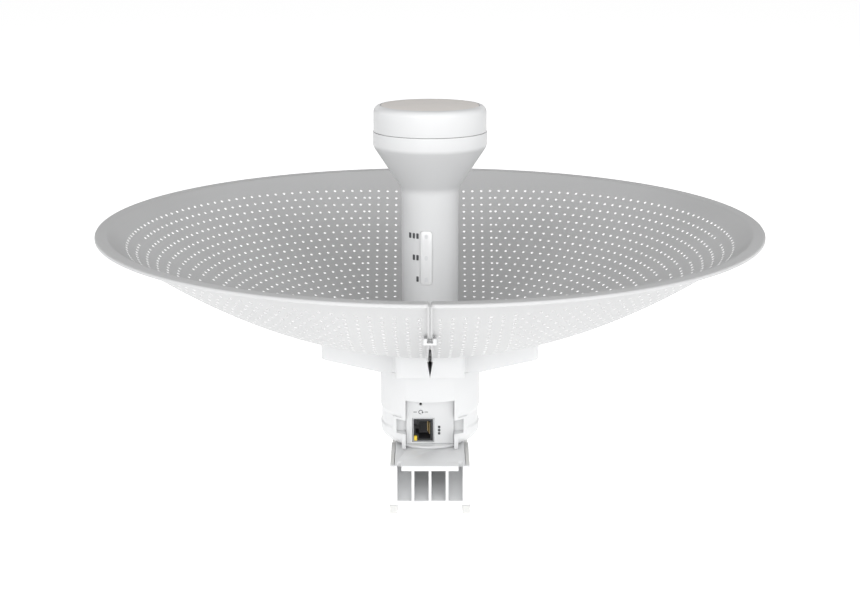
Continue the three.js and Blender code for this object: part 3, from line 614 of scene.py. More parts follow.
class BridgeColors(bpy.types.PropertyGroup):
    """Colours of the finishes."""

    shell: colour("Shell", "White plastic of the housing, bracket, stem and saddle", (0.65, 0.655, 0.66))
    reflector: colour("Reflector", "Powder coat on both reflector halves", (0.495, 0.497, 0.5))
    # Painted light: the hole walls are far paler than the coat, so each hole shows as a light dot, as light
    # seen through it would.
    hole_edge: colour("Painted Hole Light", "Walls of the reflector's holes", (0.9, 0.9, 0.9))
    inlay: colour("Inlay", "Warm grey disc on top of the antenna head", (0.69, 0.655, 0.625))
    grips: colour("Grips", "Soft pads that bear on the pole", (0.52, 0.52, 0.51))
    lens: colour("Lens", "Milky signal window", (0.76, 0.765, 0.77))
    ink: colour("Ink", "Printed marks", (0.06, 0.062, 0.066))
    lamp: colour("Port Lamp", "Amber lamp in the network socket", (0.82, 0.6, 0.06))


class BridgePerforation(bpy.types.PropertyGroup):
    """The holes through the reflector."""

    hole: length("Hole Diameter", "Diameter of each drain hole", 2.0, min=0.5 * MM)
    ring_pitch: length("Ring Pitch", "Distance between rings, measured along the surface", 7.4, min=3 * MM)
    hole_pitch: length("Hole Pitch", "Distance between holes along a ring", 6.94, min=3 * MM)
    seam_margin: length("Seam Margin", "From the seam to the first hole of each ring", 5.7, min=2 * MM)
    outermost: length("Outermost Ring", "Radius of the outermost ring", 191.3)
    dip: length("Ring Dip", "How far each ring is drawn inwards where it meets the seam", 8.8)
    dip_reach: degrees("Dip Reach", "Angle from the seam over which the dip fades out", 72)
    innermost: length("Innermost Ring", "Rings smaller than this are left out", 48.0)
    straight: whole("Straight Columns", "Holes beside the seam that line up from ring to ring", 7, min=0)
    hole_sides: whole("Hole Sides", "Sides of each hole's outline", 10, min=6, max=24)


class BridgeSheet(bpy.types.PropertyGroup):
    """The folded and rolled edges of each reflector half."""

    fold: length("Fold Radius", "Outer radius of the fold along the seam", 1.6)
    hem: length("Hem Depth", "How far the folded strip reaches down from the inner face", 3.5)
    opening: length("Seam Opening", "How far each edge stands back midway along the seam", 1.0)
    hem_stop: length("Hem Stop", "Distance inside the lip where the folded strip ends", 5.0)
    roll: length("Rolled Edge", "Depth of the rolled outer edge", 2.0)
    corner: length("Corner Radius", "Radius of the corners where the rim meets the seam", 3.0)
    columns: whole("Columns", "Divisions from one seam to the other", 120, min=24)
    rows: whole("Rows", "Divisions from the hub to the lip", 30, min=8)


class BridgeSignal(bpy.types.PropertyGroup):
    """The signal strip on the stem."""

    across: length("Window Centre", "Sideways place of the window on the stem", -2.4)
    middle: length("Window Height", "Height of the window's middle over the dish's vertex", 59.4)
    width: length("Window Width", "Width of the window", 7.6)
    tall: length("Window Length", "Length of the window", 34.6)
    pitch: length("Lamp Pitch", "Distance between lamps", 13.9)
    bar_width: length("Bar Width", "Width of a printed bar", 1.5)
    bar_height: length("Bar Height", "Height of a printed bar", 3.5)
    bar_pitch: length("Bar Pitch", "Distance between bars", 2.3)
    bar_start: length("First Bar", "Sideways place of the bar nearest to the window", -7.9)


class BridgeStudio(bpy.types.PropertyGroup):
    """Camera, lights and floor."""

    distance: length("Camera Distance", "How far in front of the axis the camera stands", 950)
    raise_by: length("Camera Height", "Camera height over the dish's vertex", 272.2)
    pitch: degrees("Camera Pitch", "Angle that the camera looks down by", 14.61)
    lens: bpy.props.FloatProperty(
        name="Focal Length", description="Camera focal length in millimetres", default=63.4)
    world: amount("Room Light", "Strength of the even light all round", 0.17)
    floor: amount("Floor Glow", "How much the paper floor is lit from below", 0.89)
    front: power("Front Light", "in front", 28)
    high: power("High Light", "high in front", 39)
    right: power("Right Light", "on the right", 13)
    left: power("Left Light", "on the left", 13)
    back: power("Back Light", "behind", 8)


class BridgeSettings(bpy.types.PropertyGroup):
    """All settings of the wireless bridge."""

    colors: group(BridgeColors, "Colours")
    holes: group(BridgePerforation, "Perforation")
    sheet: group(BridgeSheet, "Sheet")
    signal: group(BridgeSignal, "Signal Strip")
    studio: group(BridgeStudio, "Studio")


def settings():
    return bpy.context.scene.wireless_bridge


# ------------------------------------------------------------------ reflector
def sheet_rows(sizes):
    """Rows of the inner face from hub to rim: (radius, height, seam inset, hem depth, roll drop)."""
    lip = LIP
    first = STEM_RADIUS + GAP
    hem_first = first + 4 * MM
    hem_last = lip - sizes.hem_stop
    blunt = sizes.roll
    rows = []
    for i in range(sizes.rows + 1):
        radius = first + (lip - 1.2 * MM - first) * i / sizes.rows
        rise = min(1, max(0, (radius - first) / (hem_first - first)))
        fall = min(1, max(0, (hem_last - radius) / (3 * MM) + 0.5))
        hem = blunt + (sizes.hem - blunt) * min(rise, fall)
        rows.append((radius, bowl(radius), seam_opening(radius, sizes), hem, 0))
    for beyond, drop in ((-0.5, 0.4), (0.2, 0.12), (1.0, 0)):
        rows.append((lip + beyond * MM, bowl(lip) - drop * MM, 0, blunt, 0))
    roll = 1.2 * MM
    for share in (0.35, 0.6, 0.8, 1.0):
        radius = lip + 1 * MM + (RIM - roll - lip - 1 * MM) * share
        rows.append((radius, bowl(lip), corner_inset(radius, sizes), blunt, 0))
    for step in range(1, 5):
        angle = math.pi / 2 * step / 4
        radius = RIM - roll + roll * math.sin(angle)
        rows.append((radius, bowl(lip), corner_inset(radius, sizes), blunt, roll * (1 - math.cos(angle))))
    rows.append((RIM, bowl(lip), sizes.corner, blunt, blunt))
    return rows


def seam_opening(radius, sizes):
    """How far the seam edge stands back between the bracket's end and the clip."""
    near = highest("reflector_bracket").y
    far = highest("seam_clip_rear").y
    share = min(1, max(0, (radius - near) / (far - near)))
    return sizes.opening * math.sin(math.pi * share) ** 2


def corner_inset(radius, sizes):
    """How far the rounded corner draws the seam edge back at this radius."""
    over = max(0, radius - (RIM - sizes.corner))
    return sizes.corner - math.sqrt(max(0, sizes.corner ** 2 - over ** 2))


def fold_section(sizes, hem):
    """Columns across the fold, from the hem up and over: (distance from the seam edge, drop)."""
    fold = sizes.fold
    section = [(0, hem), (0, (hem + fold) / 2)]
    for step in range(6):
        angle = math.pi / 2 * step / 5
        section.append((fold * (1 - math.cos(angle)), fold * (1 - math.sin(angle))))
    return section


def reflector_sheet(side, sizes):
    """The inner face of one half, as a strip of rows that Solidify gives its gauge."""
    points = []
    widths = 0
    for radius, height, inset, hem, roll in sheet_rows(sizes):
        edge = SEAM_HALF + inset
        fold = fold_section(sizes, hem)
        level = VERTEX + SHEET + height

        def on_edge(end, across, drop):
            x = edge + across
            return (side * x, end * math.sqrt(radius ** 2 - x ** 2), level - max(drop, roll))

        reach = math.acos((edge + sizes.fold) / radius)
        front = [on_edge(-1, *place) for place in fold]
        rear = [on_edge(1, *place) for place in reversed(fold)]
        middle = []
        for i in range(1, sizes.columns):
            angle = reach * (2 * i / sizes.columns - 1)
            middle.append((side * radius * math.cos(angle), radius * math.sin(angle), level - roll))
        row = front + middle + rear
        widths = len(row)
        points += row
    count = len(points) // widths
    faces = []
    for row in range(count - 1):
        for i in range(widths - 1):
            a = row * widths + i
            corners = (a, a + 1, a + widths + 1, a + widths)
            faces.append(corners if side < 0 else corners[::-1])
    mesh = bpy.data.meshes.new("sheet")
    mesh.from_pydata(points, [], faces)
    piece = linked(bpy.data.objects.new("sheet", mesh))
    gauge = piece.modifiers.new("gauge", "SOLIDIFY")
    gauge.thickness = SHEET * 0.97
    gauge.offset = -1
    made = evaluated(piece)
    bpy.data.objects.remove(piece)
    return made


def perforation_recipe():
    """Rings of holes that follow the paraboloid, counted off from the seam on both sides of it."""
    recipe = Recipe(
        "Perforated reflector",
        lengths=(
            "Side", "Focal Length", "Vertex Height", "Outermost Radius", "Innermost Radius", "Ring Pitch",
            "Hole Pitch", "Seam Margin", "Hole Diameter", "Ring Dip", "Dip Reach", "Straight Columns"),
        counts=("Hole Sides", "Rings"),
        finishes=("Finish", "Hole Painted Light Finish"))
    setback = 0.42       # share of the hole pitch by which every second ring is set back
    middle_gap = 0.35    # share of it that stays clear where a ring's two ends meet
    side = recipe["Side"]
    focal = recipe["Focal Length"]
    outermost = recipe["Outermost Radius"]
    hole_pitch = recipe["Hole Pitch"]
    margin = recipe["Seam Margin"]
    hole = recipe["Hole Diameter"]
    rim_height = outermost * outermost / (4 * focal)
    section = recipe.node("GeometryNodeCurveQuadraticBezier", values={
        "Resolution": 256, "Start": recipe.combine(x=outermost, z=rim_height),
        "Middle": recipe.combine(x=outermost / 2), "End": recipe.combine()})
    ring = recipe.node("GeometryNodePoints", values={"Count": recipe["Rings"]})
    order = recipe.node("GeometryNodeInputIndex")
    station = recipe.node("GeometryNodeSampleCurve", {"mode": "LENGTH"}, {
        "Curves": section, "Length": order * recipe["Ring Pitch"]}, output="Position")
    stations = recipe.node("GeometryNodeSetPosition", values={"Geometry": ring, "Position": station})
    radius, _, _ = recipe.split(recipe.node("GeometryNodeInputPosition"))
    inside = recipe.node("FunctionNodeCompare", {"operation": "LESS_THAN"}, {
        0: radius, 1: recipe["Innermost Radius"]})
    kept = recipe.node("GeometryNodeDeleteGeometry", {"domain": "POINT"}, {
        "Geometry": stations, "Selection": inside})
    kept = recipe.node("GeometryNodeStoreNamedAttribute", {"data_type": "FLOAT"}, {
        "Geometry": kept, "Name": "odd ring", "Value": recipe.math("MODULO", order, 2.0)})
    quarter = radius * (math.pi / 2)
    spare = quarter - margin - middle_gap * hole_pitch
    along = recipe.math("FLOOR", spare / hole_pitch) + 1
    spots = recipe.node("GeometryNodeDuplicateElements", {"domain": "POINT"}, {
        "Geometry": kept, "Amount": 2 * along})
    number = spots.other("Duplicate Index")
    step = recipe.math("FLOOR", number / 2)
    end = 1 - 2 * recipe.math("MODULO", number, 2.0)
    odd = recipe.node("GeometryNodeInputNamedAttribute", {"data_type": "FLOAT"}, {"Name": "odd ring"})
    far = recipe.math("GREATER_THAN", step, recipe["Straight Columns"] - 0.5)
    angle = (margin + (step - setback * odd * far) * hole_pitch) / radius
    nearness = recipe.math("MAXIMUM", 1 - angle / recipe["Dip Reach"], 0.0)
    drawn = radius - recipe["Ring Dip"] * nearness * nearness
    across = side * drawn * recipe.math("SINE", angle)
    forward = end * drawn * recipe.math("COSINE", angle)
    height = recipe["Vertex Height"] + drawn * drawn / (4 * focal)
    placed = recipe.node("GeometryNodeSetPosition", values={
        "Geometry": spots, "Position": recipe.combine(across, forward, height)})
    x, y, _ = recipe.split(recipe.node("GeometryNodeInputPosition"))
    normal = recipe.combine(0 - x, 0 - y, 2 * focal)
    lean = recipe.node("FunctionNodeAlignRotationToVector", {"axis": "Z"}, {"Vector": normal})
    punch = recipe.node("GeometryNodeMeshCylinder", values={
        "Vertices": recipe["Hole Sides"], "Radius": hole / 2, "Depth": 5 * hole})
    # The punches carry the pale hole-wall finish: painted light that makes each hole read as a light dot.
    bright = recipe.node("GeometryNodeSetMaterial", values={
        "Geometry": punch, "Material": recipe["Hole Painted Light Finish"]})
    punches = recipe.node("GeometryNodeInstanceOnPoints", values={
        "Points": placed, "Instance": bright, "Rotation": lean})
    tools = recipe.node("GeometryNodeRealizeInstances", values={"Geometry": punches})
    cut = recipe.node("GeometryNodeMeshBoolean", {"operation": "DIFFERENCE", "solver": "MANIFOLD"}, {
        "Mesh 1": recipe["Geometry"], "Mesh 2": tools})
    recipe.finish(cut, except_for="Hole Painted Light Finish")
    return recipe


class BRIDGE_OT_reflector(bpy.types.Operator):
    """Builds both perforated halves of the reflector"""

    bl_idname = "bridge.reflector"
    bl_label = "Reflector Halves"

    def execute(self, context):
        holes = settings().holes
        recipe = perforation_recipe()
        surface_run = RIM * 1.2
        for side, hand in ((-1, "left"), (1, "right")):
            made = recipe.run(reflector_sheet(side, settings().sheet), {
                "Side": float(side),
                "Focal Length": FOCAL,
                "Outermost Radius": holes.outermost,
                "Innermost Radius": holes.innermost,
                "Ring Pitch": holes.ring_pitch,
                "Hole Pitch": holes.hole_pitch,
                "Seam Margin": holes.seam_margin,
                "Hole Diameter": holes.hole,
                "Ring Dip": holes.dip,
                "Dip Reach": holes.dip_reach,
                "Straight Columns": float(holes.straight),
                "Hole Sides": holes.hole_sides,
                "Rings": int(surface_run / holes.ring_pitch),
                "Vertex Height": VERTEX,
                "Finish": FINISHES["reflector_paint"],
                "Hole Painted Light Finish": FINISHES["hole_edge"],
            })
            piece = linked(bpy.data.objects.new(f"perforated_reflector_{hand}", made))
            declared(piece, [f"reflector_{hand}"])
        return {"FINISHED"}


class BRIDGE_OT_seam_clips(bpy.types.Operator):
    """Builds the two moulded clips that bridge the seam"""

    bl_idname = "bridge.seam_clips"
    bl_label = "Seam Clips"

    def execute(self, context):
        for end in ("front", "rear"):
            softened(f"seam_clip_{end}", "moulding", "white_shell", 0.3 * MM)
        return {"FINISHED"}


# ------------------------------------------------------------------ stem and signal strip
def on_stem(outline, inner, outer, columns=14):
    """A plate wrapped on the front of the stem; its outline gives (low, high) at each x."""
    x0, x1, limits = outline
    points = []
    for radius in (inner, outer):
        for i in range(columns + 1):
            x = x0 + (x1 - x0) * (1 - math.cos(math.pi * i / columns)) / 2
            for z in limits(x):
                points.append((x, -math.sqrt(radius ** 2 - x ** 2), z))
    count = 2 * (columns + 1)
    faces = []
    for i in range(columns):
        a = 2 * i
        faces.append((a, a + 1, a + 3, a + 2))
        faces.append((count + a, count + a + 2, count + a + 3, count + a + 1))
        faces.append((a, a + 2, count + a + 2, count + a))
        faces.append((a + 1, count + a + 1, count + a + 3, a + 3))
    faces.append((0, count, count + 1, 1))
    faces.append((count - 2, count - 1, 2 * count - 1, 2 * count - 2))
    return Solid(mesh_of(points, faces))


def round_ended(x, z, width, tall, corner):
    """Outline of an upright rounded rectangle, as (left, right, limits at x)."""
    def limits(at):
        over = max(0, abs(at - x) - (width / 2 - corner))
        cut = corner - math.sqrt(max(0, corner ** 2 - over ** 2))
        return (z - tall / 2 + cut, z + tall / 2 - cut)
    return (x - width / 2, x + width / 2, limits)


def stem_outline():
    """Half section of the stem and the lower cup of the head, outside then inside."""
    def over(height):
        return VERTEX + height * MM

    flare_low = (STEM_RADIUS, over(101.5), 9 * MM)
    flare_high = (CUP_RADIUS, over(128.6), 5 * MM)
    inner = STEM_RADIUS - STEM_WALL
    cup_inner = CUP_RADIUS - 2.2 * MM
    return [
        (STEM_RADIUS, STEM_LOW, 0.5 * MM), flare_low, flare_high,
        (CUP_RADIUS, CUP_HIGH, 0.25 * MM),
        (cup_inner + 1.4 * MM, CUP_HIGH), (cup_inner + 1.4 * MM, CUP_HIGH - 1 * MM),
        (cup_inner, CUP_HIGH - 1 * MM),
        (cup_inner, over(129.6), 3 * MM), (inner, over(102.5), 9 * MM), (inner, STEM_LOW),
    ]


class BRIDGE_OT_stem(bpy.types.Operator):
    """Builds the stem with its flared cup and the pocket for the signal window"""

    bl_idname = "bridge.stem"
    bl_label = "Feed Stem"

    def execute(self, context):
        signal = settings().signal
        middle = VERTEX + signal.middle
        pocket = on_stem(
            round_ended(signal.across, middle, signal.width + GAP, signal.tall + GAP, 2.1 * MM),
            STEM_RADIUS - STEM_WALL / 2, STEM_RADIUS + 3 * MM)
        stem = turned(stem_outline()) - pocket
        for step in (-1, 0, 1):
            stem = stem - rod(
                1.6 * MM, "Y", (signal.across, middle + step * signal.pitch), -2 * STEM_RADIUS, 0, BORE)
        finished("feed_tube_moulding", stem, "white_shell", ["feed_tube"])
        return {"FINISHED"}


class BRIDGE_OT_signal_strip(bpy.types.Operator):
    """Builds the signal window, its lamp lenses and the printed bars beside it"""

    bl_idname = "bridge.signal_strip"
    bl_label = "Signal Strip"

    def execute(self, context):
        signal = settings().signal
        middle = VERTEX + signal.middle
        face = STEM_RADIUS + 0.5 * MM
        window = on_stem(
            round_ended(signal.across, middle, signal.width, signal.tall, 2 * MM),
            STEM_RADIUS - STEM_WALL / 2 + GAP, face)
        finished("signal_window_lens", window, "clear_lens", ["signal_window"], 0.25 * MM)
        for count, step in ((1, -1), (2, 0), (3, 1)):
            height = middle + step * signal.pitch
            dot = on_stem(
                round_ended(signal.across, height, 2.0 * MM, 3.0 * MM, 0.95 * MM),
                face - 0.4 * MM, face + 0.06 * MM)
            finished(f"lamp_lens_{count}", dot, "clear_lens", paint="lamp_tint")
            for bar in range(count):
                x = signal.bar_start - bar * signal.bar_pitch
                mark = on_stem(
                    round_ended(x, height, signal.bar_width, signal.bar_height, 0.35 * MM),
                    STEM_RADIUS - 0.3 * MM, STEM_RADIUS + 0.04 * MM, 8)
                finished(f"level_{count}_bar_{bar + 1}", mark, "black_plastic", paint="printed_ink")
        return {"FINISHED"}


# ------------------------------------------------------------------ antenna head
class BRIDGE_OT_antenna_head(bpy.types.Operator):
    """Builds the cap of the antenna head and the disc let into its top"""

    bl_idname = "bridge.antenna_head"
    bl_label = "Antenna Head"

    def execute(self, context):
        base = CUP_HIGH + 0.2 * MM
        wall = 2.2 * MM
        roof = DISC_LOW - GAP
        spigot = CUP_RADIUS - wall - GAP
        well = DISC_RADIUS + GAP
        cap = turned([
            (0, roof - 2 * MM), (CAP_RADIUS - wall, roof - 2 * MM, 4 * MM),
            (CAP_RADIUS - wall, base + 2 * MM), (spigot - 1.6 * MM, base),
            (spigot - 1.6 * MM, CUP_HIGH - 3.6 * MM), (spigot, CUP_HIGH - 3.6 * MM), (spigot, base),
            (CAP_RADIUS, base, 0.3 * MM), (CAP_RADIUS, CAP_HIGH, 4.3 * MM), (well, CAP_HIGH, 0.2 * MM),
            (well, roof), (0, roof),
        ])
        finished("head_cap_moulding", cap, "white_shell", ["head_cap"])
        dome = DISC_HIGH - CAP_HIGH
        crown = []
        for step in range(1, 13):
            out = 1 - step / 12
            crown.append((DISC_RADIUS * out, CAP_HIGH + dome * (1 - out ** 2)))
        disc = turned([
            (0, DISC_LOW), (DISC_RADIUS, DISC_LOW), (DISC_RADIUS, CAP_HIGH - 0.05 * MM, 0.25 * MM), *crown])
        finished("cap_disc_inlay", disc, "grey_inlay", ["cap_disc"])
        return {"FINISHED"}


# ------------------------------------------------------------------ collar and its screws
def screw_recipe():
    """Pan-head screws with a cross recess, one at each given point."""
    recipe = Recipe("Pan-head screws", lengths=(
        "Head Radius", "Head Height", "Shank Radius", "Shank Length"))
    head = recipe["Head Radius"]
    tall = recipe["Head Height"]
    depth = recipe["Shank Length"]

    def lifted(kind, sizes, height):
        """A basic solid of these sizes, moved along Z."""
        return recipe.node("GeometryNodeTransform", values={
            "Geometry": recipe.node(kind, values=sizes), "Translation": recipe.combine(z=height)})

    low = lifted("GeometryNodeMeshCylinder", {
        "Vertices": 32, "Radius": head, "Depth": tall * 0.55}, tall * 0.275)
    high = lifted("GeometryNodeMeshCone", {
        "Vertices": 32, "Radius Top": head * 0.62, "Radius Bottom": head,
        "Depth": tall * 0.45}, tall * 0.549)
    shank = lifted("GeometryNodeMeshCylinder", {
        "Vertices": 16, "Radius": recipe["Shank Radius"], "Depth": depth}, depth * -0.499)
    solid = recipe.node("GeometryNodeMeshBoolean", {"operation": "UNION", "solver": "MANIFOLD"}, {
        "Mesh 2": [low, high, shank]})
    wings = []
    for long, wide in ((1.15, 0.28), (0.28, 1.15)):
        size = recipe.combine(head * long, head * wide, tall * 0.9)
        wings.append(lifted("GeometryNodeMeshCube", {"Size": size}, tall))
    screw = recipe.node("GeometryNodeMeshBoolean", {"operation": "DIFFERENCE", "solver": "MANIFOLD"}, {
        "Mesh 1": solid, "Mesh 2": wings})
    spots = recipe.node("GeometryNodeMeshToPoints", values={"Mesh": recipe["Geometry"]})
    recipe.finish(recipe.node("GeometryNodeInstanceOnPoints", values={"Points": spots, "Instance": screw}))
    return recipe


class BRIDGE_OT_collar(bpy.types.Operator):
    """Builds the collar round the stem's foot and the four screws that clamp the reflector"""

    bl_idname = "bridge.collar"
    bl_label = "Stem Collar"

    def execute(self, context):
        softened("stem_collar", "moulding", "white_shell", 0.3 * MM)
        nodes = [f"collar_screw_{i}" for i in range(1, 5)]
        head_height = 2 * MM
        spots = bpy.data.meshes.new("screw spots")
        places = []
        for node in nodes:
            centre = centre_of(node)
            places.append((centre.x, centre.y, highest(node).z - head_height))
        spots.from_pydata(places, [], [])
        low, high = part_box(nodes[0])
        made = screw_recipe().run(spots, {
            "Head Radius": (high.x - low.x) / 2 * 0.99, "Head Height": head_height,
            "Shank Radius": 1.5 * MM, "Shank Length": high.z - low.z - head_height,
            "Finish": FINISHES["screw_steel"],
        })
        piece = linked(bpy.data.objects.new("collar_screws", made))
        declared(piece, nodes)
        return {"FINISHED"}


# ------------------------------------------------------------------ bracket
class BRIDGE_OT_bracket(bpy.types.Operator):
    """Builds the cross bracket under the reflector"""

    bl_idname = "bridge.bracket"
    bl_label = "Cross Bracket"

    def execute(self, context):
        low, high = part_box("reflector_bracket")
        side_reach = high.x
        end_reach = high.y
        half = 21.75 * MM
        hub = highest("rear_housing").x
        arm_low = VERTEX - 5.8 * MM
        top = VERTEX + 35 * MM
        wall = 3.2 * MM
        past = 1 * MM
        taper = [
            (-side_reach - past, top), (-side_reach - past, arm_low), (-hub, low.z, 6 * MM),
            (hub, low.z, 6 * MM), (side_reach + past, arm_low), (side_reach + past, top)]
        arms = prism(rounded_box(-side_reach, side_reach, -half, half, 4 * MM), "Z", low.z, top)
        ends = prism(rounded_box(-half, half, -end_reach, end_reach, 4 * MM), "Z", low.z, top)
        arms = arms & prism(taper, "Y", -half - past, half + past)
        ends = ends & prism(taper, "X", -half - past, half + past)
        body = rod(hub, "Z", (0, 0), low.z, top, ROUND) + arms + ends
        reach = side_reach + 10 * MM
        curve = [(reach * i / 24, VERTEX + bowl(reach * i / 24) - GAP) for i in range(25)]
        body = body - turned([*curve, (reach, VERTEX + 60 * MM), (0, VERTEX + 60 * MM)], 96)
        slot_half = SEAM_HALF + SHEET + GAP
        hem = VERTEX - 2.8 * MM
        slot = [
            (0, VERTEX - 11.8 * MM), (slot_half, hem), (slot_half, top),
            (-slot_half, top), (-slot_half, hem)]
        for side in (-1, 1):
            near, far = sorted((side * (hub + wall), side * (side_reach - wall)))
            body = body - block(near, far, wall - half, half - wall, VERTEX - 3 * MM, top)
            near, far = sorted((side * (STEM_RADIUS + wall), side * (end_reach + past)))
            body = body - prism(slot, "Y", near, far)
        nut = highest("stem_lock_nut").x + GAP
        body = body - rod(STEM_RADIUS + GAP, "Z", (0, 0), low.z - past, top)
        body = body - rod(nut, "Z", (0, 0), low.z - past, highest("stem_seal").z + GAP)
        for node in ("housing_screw", "collar_screw"):
            for i in range(1, 5):
                box_low, box_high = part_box(f"{node}_{i}")
                spot = centre_of(f"{node}_{i}").xy
                body = body - rod(SCREW_BORE, "Z", spot, low.z - past, top, BORE)
                if node == "housing_screw":
                    head = (box_high.x - box_low.x) / 2 + GAP
                    body = body - rod(head, "Z", spot, box_high.z - 2.3 * MM, top, 32)
        finished(
            "reflector_bracket_moulding", body, "white_shell", ["reflector_bracket"], 0.6 * MM, segments=3)
        return {"FINISHED"}


# ------------------------------------------------------------------ rear housing
def housing_skin(inset, low, high):
    """The housing's turned body, drawn in by `inset`."""
    def up(height):
        return DECK + height * MM

    radius = highest("rear_housing").x
    waist = radius - 0.85 * MM
    band = radius - 0.1 * MM
    foot = 24.4 * MM - inset / 3
    bulge = Vector((band - inset, up(3.2) + inset))
    start = Vector((foot, low))
    end = Vector((band - inset, up(9)))
    curve = []
    for i in range(17):
        t = i / 16
        curve.append(tuple((1 - t) ** 2 * start + 2 * t * (1 - t) * bulge + t * t * end))
    return turned([
        (0, low), *curve, (band - inset, up(12), 0.4 * MM), (waist - inset, up(13.2), 0.6 * MM),
        (waist - inset, up(21.3), 0.6 * MM), (radius - inset, up(23.6), 0.6 * MM),
        (radius - inset, high, 0.4 * MM), (0, high)])


def bay_prism(grow, low, high, front, back):
    """The plus-shaped bay, grown outwards by `grow`."""
    narrow = 15.6 * MM + grow
    wide = 21.6 * MM + grow
    tall = block(-narrow, narrow, -front, -back, low, high)
    broad = block(
        -wide, wide, -front, -back, DECK + 10.4 * MM - grow / 2, DECK + 19.8 * MM + grow / 2)
    return tall + broad


class BRIDGE_OT_housing(bpy.types.Operator):
    """Builds the round housing with its open port bay"""

    bl_idname = "bridge.housing"
    bl_label = "Rear Housing"

    def execute(self, context):
        rim = 2.6 * MM
        rim_radius = -lowest("rear_housing").y
        panel_thick = 1.5 * MM
        back_wall = 1 * MM
        seat = PANEL_FACE - panel_thick - 0.6 * MM - 2 * GAP
        floor_top = HOUSING_LOW + 1.5 * MM
        bay_top = DECK + 33.5 * MM
        reach = rim_radius + 5 * MM
        raised = bay_prism(rim, HOUSING_LOW, bay_top, reach, PANEL_FACE - 4 * MM)
        raised = raised & rod(rim_radius, "Z", (0, 0), HOUSING_LOW, bay_top, ROUND)
        room = housing_skin(2.4 * MM, floor_top, HOUSING_HIGH + 1 * MM)
        room = room - bay_prism(rim, HOUSING_LOW, bay_top + rim, reach, seat - back_wall)
        shell = housing_skin(0, HOUSING_LOW, HOUSING_HIGH) + raised - room
        ledge = rod(27 * MM, "Z", (0, 0), HOUSING_LOW, floor_top, ROUND)
        recess = bay_prism(0, DECK, bay_top, reach, seat) - ledge
        shell = shell - recess
        window = 13 * MM
        shell = shell - block(
            -window, window, -PANEL_FACE, back_wall + 1 * MM - seat, floor_top + 1 * MM, DECK + 30.9 * MM)
        for i in range(1, 5):
            spot = centre_of(f"saddle_screw_{i}").xy
            shell = shell - rod(SCREW_BORE, "Z", spot, HOUSING_LOW - MM, floor_top + MM, BORE)
        finished("rear_housing_moulding", shell, "white_shell", ["rear_housing"], 0.35 * MM)
        return {"FINISHED"}


# ------------------------------------------------------------------ port bay fittings
def panel_mark(name, outlines):
    """A generic sign printed on the port panel, made of thin plates drawn in (x, z)."""
    plates = [prism(outline, "Y", -PANEL_FACE - 0.05 * MM, -PANEL_FACE + 0.1 * MM) for outline in outlines]
    mark = plates[0]
    for plate in plates[1:]:
        mark = mark + plate
    finished(name, mark, "black_plastic", paint="printed_ink")


def arc_band(centre, inner, outer, start, end):
    """Outline of a band that follows an arc, in degrees."""
    angles = [math.radians(start + (end - start) * i / 20) for i in range(21)]
    points = [(centre[0] + outer * math.cos(a), centre[1] + outer * math.sin(a)) for a in angles]
    points += [(centre[0] + inner * math.cos(a), centre[1] + inner * math.sin(a)) for a in reversed(angles)]
    return points


class BRIDGE_OT_port_bay(bpy.types.Operator):
    """Builds the port panel with its signs, and the network socket"""

    bl_idname = "bridge.port_bay"
    bl_label = "Port Bay"

    def execute(self, context):
        softened("port_panel", "moulding", "white_shell", 0.12 * MM)
        softened("jack_shield", "pressing", "bare_metal", 0.08 * MM)
        softened("jack_insert", "moulding", "black_plastic", 0.12 * MM)
        self.reset_sign()
        self.port_sign()
        return {"FINISHED"}

    def reset_sign(self):
        """An arrow turning back on itself, between two short rules, under the pinhole."""
        centre = (-6 * MM, DECK + 23.6 * MM)
        radius = 1.25 * MM
        half = 0.22 * MM
        head = 0.75 * MM
        tip = (centre[0] + radius, centre[1] + 0.1 * MM)
        arrow = [(tip[0] - head, tip[1]), (tip[0] + head, tip[1]), (tip[0], tip[1] - 1.1 * MM)]
        rules = []
        for side in (-1, 1):
            x = centre[0] + side * 3.6 * MM
            rules.append([
                (x - 1.1 * MM, centre[1] - half), (x + 1.1 * MM, centre[1] - half),
                (x + 1.1 * MM, centre[1] + half), (x - 1.1 * MM, centre[1] + half)])
        panel_mark("reset_sign", [arc_band(centre, radius - half, radius + half, 10, 290), arrow, *rules])

    def port_sign(self):
        """Three linked stations beside the socket."""
        x = 5.9 * MM
        z = DECK + 11.3 * MM
        station = 0.8 * MM
        line = 0.2 * MM
        outlines = []
        for dx, dz in ((0, 2.2), (0, -2.2), (0, 0)):
            outlines.append(rounded_box(
                x + dx * MM - station, x + dx * MM + station,
                z + dz * MM - station, z + dz * MM + station, 0.2 * MM))
        outlines.append([(x - line, z - 2.2 * MM), (x + line, z - 2.2 * MM), (x + line, z + 2.2 * MM),
                         (x - line, z + 2.2 * MM)])
        panel_mark("port_sign", outlines)


# ------------------------------------------------------------------ pole saddle
class BRIDGE_OT_saddle(bpy.types.Operator):
    """Builds the ribbed pole saddle and its four grip pads"""

    bl_idname = "bridge.saddle"
    bl_label = "Pole Saddle"

    def execute(self, context):
        softened("pole_saddle", "moulding", "white_shell", 0.3 * MM)
        for end in ("front", "rear"):
            for side in ("left", "right"):
                softened(f"grip_pad_{end}_{side}", "moulding", "grip_grey", 0.4 * MM)
        return {"FINISHED"}


